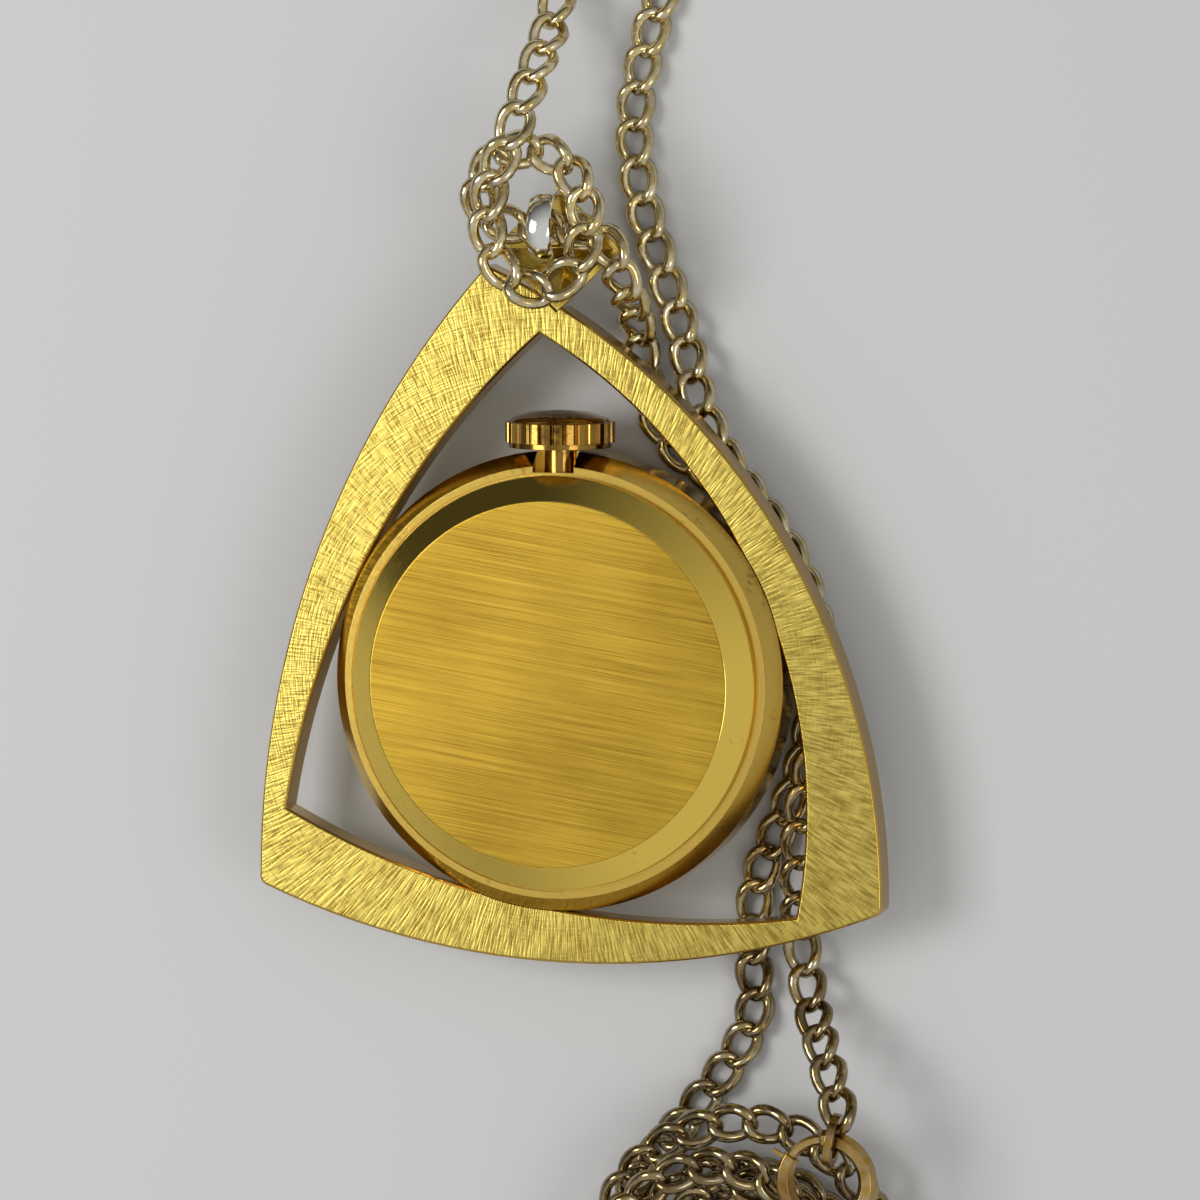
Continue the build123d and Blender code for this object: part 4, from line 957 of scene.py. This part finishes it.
        line = w.add("GeometryNodeMeshToCurve")
        w.put(line.inputs[0], given["Line"])
        trimmed = w.add("GeometryNodeTrimCurve", mode="LENGTH")
        w.put(trimmed.inputs[0], line.outputs[0])
        w.put(trimmed.inputs[4], given["Start"])
        trimmed.inputs[5].default_value = self.trim_end * MM
        level = w.add("GeometryNodeSetCurveNormal", mode="Z_UP")
        w.put(level.inputs[0], trimmed.outputs[0])
        spots = w.add("GeometryNodeCurveToPoints", mode="LENGTH")
        w.put(spots.inputs[0], level.outputs[0])
        w.put(spots.inputs["Length"], given["Pitch"])
        chance = w.add("FunctionNodeRandomValue", data_type="FLOAT")
        w.put(chance.inputs[2], w.math("MULTIPLY", given["Roll"], -1.0))
        w.put(chance.inputs[3], given["Roll"])
        chance.inputs["Seed"].default_value = self.roll_seed
        small = w.add("FunctionNodeEulerToRotation")
        w.put(small.inputs[0], w.joined(0.0, 0.0, chance.outputs[1]))
        turned = w.add("FunctionNodeRotateRotation", rotation_space="LOCAL")
        w.put(turned.inputs[0], spots.outputs["Rotation"])
        w.put(turned.inputs[1], small.outputs[0])
        laid = w.add("GeometryNodeInstanceOnPoints")
        w.put(laid.inputs["Points"], spots.outputs[0])
        w.put(laid.inputs["Instance"], link.outputs[0])
        w.put(laid.inputs["Rotation"], turned.outputs[0])
        real = w.add("GeometryNodeRealizeInstances")
        w.put(real.inputs[0], laid.outputs[0])
        smooth = w.add("GeometryNodeSetShadeSmooth")
        w.put(smooth.inputs[0], real.outputs[0])
        painted = w.add("GeometryNodeSetMaterial")
        w.put(painted.inputs[0], smooth.outputs[0])
        painted.inputs["Material"].default_value = material
        w.put(result.inputs[0], painted.outputs[0])
        return tree

    def lay(self, name: str, points: list[Vector], start: float,
            tree: bpy.types.NodeTree) -> bpy.types.Object:
        """Lay links along points, and hold them at the floor's level where they dip below it.

        Args:
            name: The stretch's name.
            points: The line to follow, in metres.
            start: How far along it the first link's middle lies, in millimetres.
            tree: The geometry node tree that lays the links.

        Returns:
            The stretch as one plain mesh.
        """
        mesh = bpy.data.meshes.new(name)
        edges = [(index, index + 1) for index in range(len(points) - 1)]
        mesh.from_pydata([tuple(point) for point in points], edges, [])
        sizes = {
            "Start": start * MM, "Pitch": self.pitch * MM, "Length": self.link_length * MM,
            "Width": self.link_width * MM, "Wire": self.link_wire * MM,
            "Twist": self.link_twist * MM, "Roll": self.roll,
        }
        piece = grown(name, mesh, tree, sizes)
        for vertex in piece.data.vertices:
            vertex.co.z = max(vertex.co.z, FLOOR_LEVEL)
        return piece

    def build(self, clasp: list[bpy.types.Object], link: list[bpy.types.Object]) -> None:
        """Args:
            clasp: The pieces on the upper stretch's far end; not used.
            link: The pieces on the lower stretch's far end; not used.
        """
        upper, turn, lower = self.upper_route(), self.bail_turn(), self.lower_route()
        meeting = tuple((a + b) / 2 for a, b in zip(upper[-1], turn[0]))
        tree = self.link_tree(CHAIN_GOLD.material())
        first = self.spline_points("upper_line", [meeting, *reversed(upper)])
        second = self.spline_points("lower_line", [meeting, *turn, *lower, *self.pile()])
        stretches = (
            ("upper_chain", first, 0.0, clasp, ("chain_upper_strand",)),
            ("lower_chain", second, self.pitch, link,
             ("chain_winding", "chain_lower_strand", "chain_pile")),
        )
        for name, points, start, ends, nodes in stretches:
            piece = self.lay(name, points, start, tree)
            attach(piece, Body.WATCH.value)
            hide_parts(*nodes)


@dataclass
class SpringRingClasp:
    """The spring-ring clasp and the rings at the chain's two ends."""

    finisher: NodeFinisher
    edge: Rounding = field(default_factory=lambda: Rounding(0.1, 2, 35.0))
    trigger_joint: str = "trigger_slide"
    ring_r: float = 2.4
    coil_free_angle: float = 158.0
    coil_held_angle: float = 212.0
    coil_margin: float = 0.8

    def press(self, coil: bpy.types.Object) -> None:
        """Give the coil a mesh of its own, which keeps the CAD coil's shape.

        Args:
            coil: The finished coil.
        """
        joint = next(row for row in frame["record"]["behaviour"]["joints"]
                     if row["name"] == self.trigger_joint)
        middle = Vector(joint["pos_m"])

        def spot(degrees: float) -> Vector:
            """Give the place on the ring's own line at an angle."""
            turn = math.radians(degrees)
            return middle + Vector((math.cos(turn), math.sin(turn), 0.0)) * self.ring_r * MM

        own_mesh(coil)

    def build(self) -> tuple[list[bpy.types.Object], list[bpy.types.Object]]:
        """Make the clasp's pieces.

        Returns:
            The pieces on the upper stretch's end, and those on the lower stretch's end.
        """
        gold = CLASP_GOLD.material()
        steel = MOVEMENT_STEEL.material()
        make = self.finisher.stand_in
        ring = make("clasp_ring", "clasp_body", Body.WATCH, "chain", self.edge, [gold])
        trigger = make("clasp_trigger", "clasp_slide", Body.TRIGGER, "chain", None, [gold])
        spring = make("clasp_spring", "clasp_coil", Body.WATCH, "steel", None, [steel])
        self.press(spring)
        end = make("end_ring", "chain_end_ring", Body.WATCH, "chain", self.edge, [gold])
        link = make("clasp_link", "clasp_link_ring", Body.WATCH, "chain", self.edge, [gold])
        return [ring, trigger, spring, end], [link]


@dataclass(frozen=True)
class Lamp:
    """A square soft lamp, with its place and side in millimetres and its power in watts."""

    name: str
    place: Point
    side: float
    power: float


@dataclass
class Studio:
    """Floor, light and camera, in millimetres apart from the floor's half side in metres."""

    target: Point = (2.44, 4.65, 5.5)
    direction: Point = (0.256, 0.089, 0.963)
    distance: float = 405.0
    nearest: float = 10.0
    lens: float = 216.0
    floor_colour: Colour = (200, 200, 199)
    floor_roughness: float = 0.7
    floor_half: float = 2.0
    world_lean: Point = (0.5, -0.55, 0.85)
    world_span: Span = Span(-0.4, 0.8)
    world_dim: float = 0.08
    world_bright: float = 0.86
    lamps: tuple[Lamp, ...] = (
        Lamp("key", (-210, 40, 320), side=170, power=0.68),
        Lamp("fill", (240, -60, 260), side=120, power=0.14),
    )

    def build(self) -> None:
        """Make the floor, the lights and the camera."""
        self.floor()
        self.world()
        for lamp in self.lamps:
            self.hang(lamp)
        self.camera()

    def floor(self) -> None:
        """Lay the plain pale floor."""
        half = self.floor_half
        mesh = bpy.data.meshes.new("floor")
        corners = [(x, y, FLOOR_LEVEL)
                   for x, y in ((-half, -half), (half, -half), (half, half), (-half, half))]
        mesh.from_pydata(corners, [], [(0, 1, 2, 3)])
        w = MaterialWriter("floor_pale")
        mesh.materials.append(w.shade(Base_Color=srgb(self.floor_colour),
                                      Roughness=self.floor_roughness))
        floor = bpy.data.objects.new("floor", mesh)
        bpy.context.scene.collection.objects.link(floor)

    def world(self) -> None:
        """Light the scene from a soft sky that is dark low down behind its upper left."""
        world = bpy.data.worlds.new("studio")
        world.use_nodes = True
        bpy.context.scene.world = world
        w = TreeWriter(world.node_tree)
        direction = w.add("ShaderNodeTexCoord").outputs["Generated"]
        x, y, z = [w.math("MULTIPLY", value, weight)
                   for value, weight in zip(w.split(direction), self.world_lean)]
        share = w.add("ShaderNodeMapRange")
        w.put(share.inputs["Value"], w.math("ADD", w.math("ADD", x, y), z))
        share.inputs["From Min"].default_value = self.world_span.low
        share.inputs["From Max"].default_value = self.world_span.high
        share.inputs["To Min"].default_value = self.world_dim
        share.inputs["To Max"].default_value = self.world_bright
        sky = w.add("ShaderNodeBackground")
        w.put(sky.inputs["Strength"], share.outputs[0])
        output = w.add("ShaderNodeOutputWorld")
        w.put(output.inputs["Surface"], sky.outputs[0])

    def hang(self, lamp: Lamp) -> None:
        """Add a lamp that points at the target."""
        data = bpy.data.lights.new(lamp.name, "AREA")
        data.energy = lamp.power
        data.size = lamp.side * MM
        carrier = bpy.data.objects.new(lamp.name, data)
        spot = Vector(lamp.place) * MM
        carrier.location = spot
        aim = Vector(self.target) * MM - spot
        carrier.rotation_euler = aim.to_track_quat("-Z", "Y").to_euler()
        bpy.context.scene.collection.objects.link(carrier)

    def camera(self) -> None:
        """Place the camera at the photograph's angle, with the part's +Y up in the picture."""
        back = Vector(self.direction).normalized()
        up = (Vector((0.0, 1.0, 0.0)) - back * back.y).normalized()
        right = up.cross(back)
        data = bpy.data.cameras.new("camera")
        data.lens = self.lens
        data.clip_start = self.nearest * MM
        camera = bpy.data.objects.new("camera", data)
        turn = Matrix((right, up, back)).transposed().to_4x4()
        spot = (Vector(self.target) + back * self.distance) * MM
        camera.matrix_world = Matrix.Translation(spot) @ turn
        bpy.context.scene.collection.objects.link(camera)
        bpy.context.scene.camera = camera


def main() -> None:
    """Build the scene in order."""
    logging.basicConfig(level=logging.INFO, format="%(message)s")
    bpy.context.scene.view_settings.view_transform = "Standard"
    Studio().build()
    finisher = NodeFinisher()
    on_upper, on_lower = SpringRingClasp(finisher).build()
    CurbChain().build(on_upper, on_lower)
    PendantFrame(finisher).build()
    WatchCase(finisher).build()
    Movement(finisher).build()
    MinuteTrack().build()


if __name__ == "__main__":
    main()
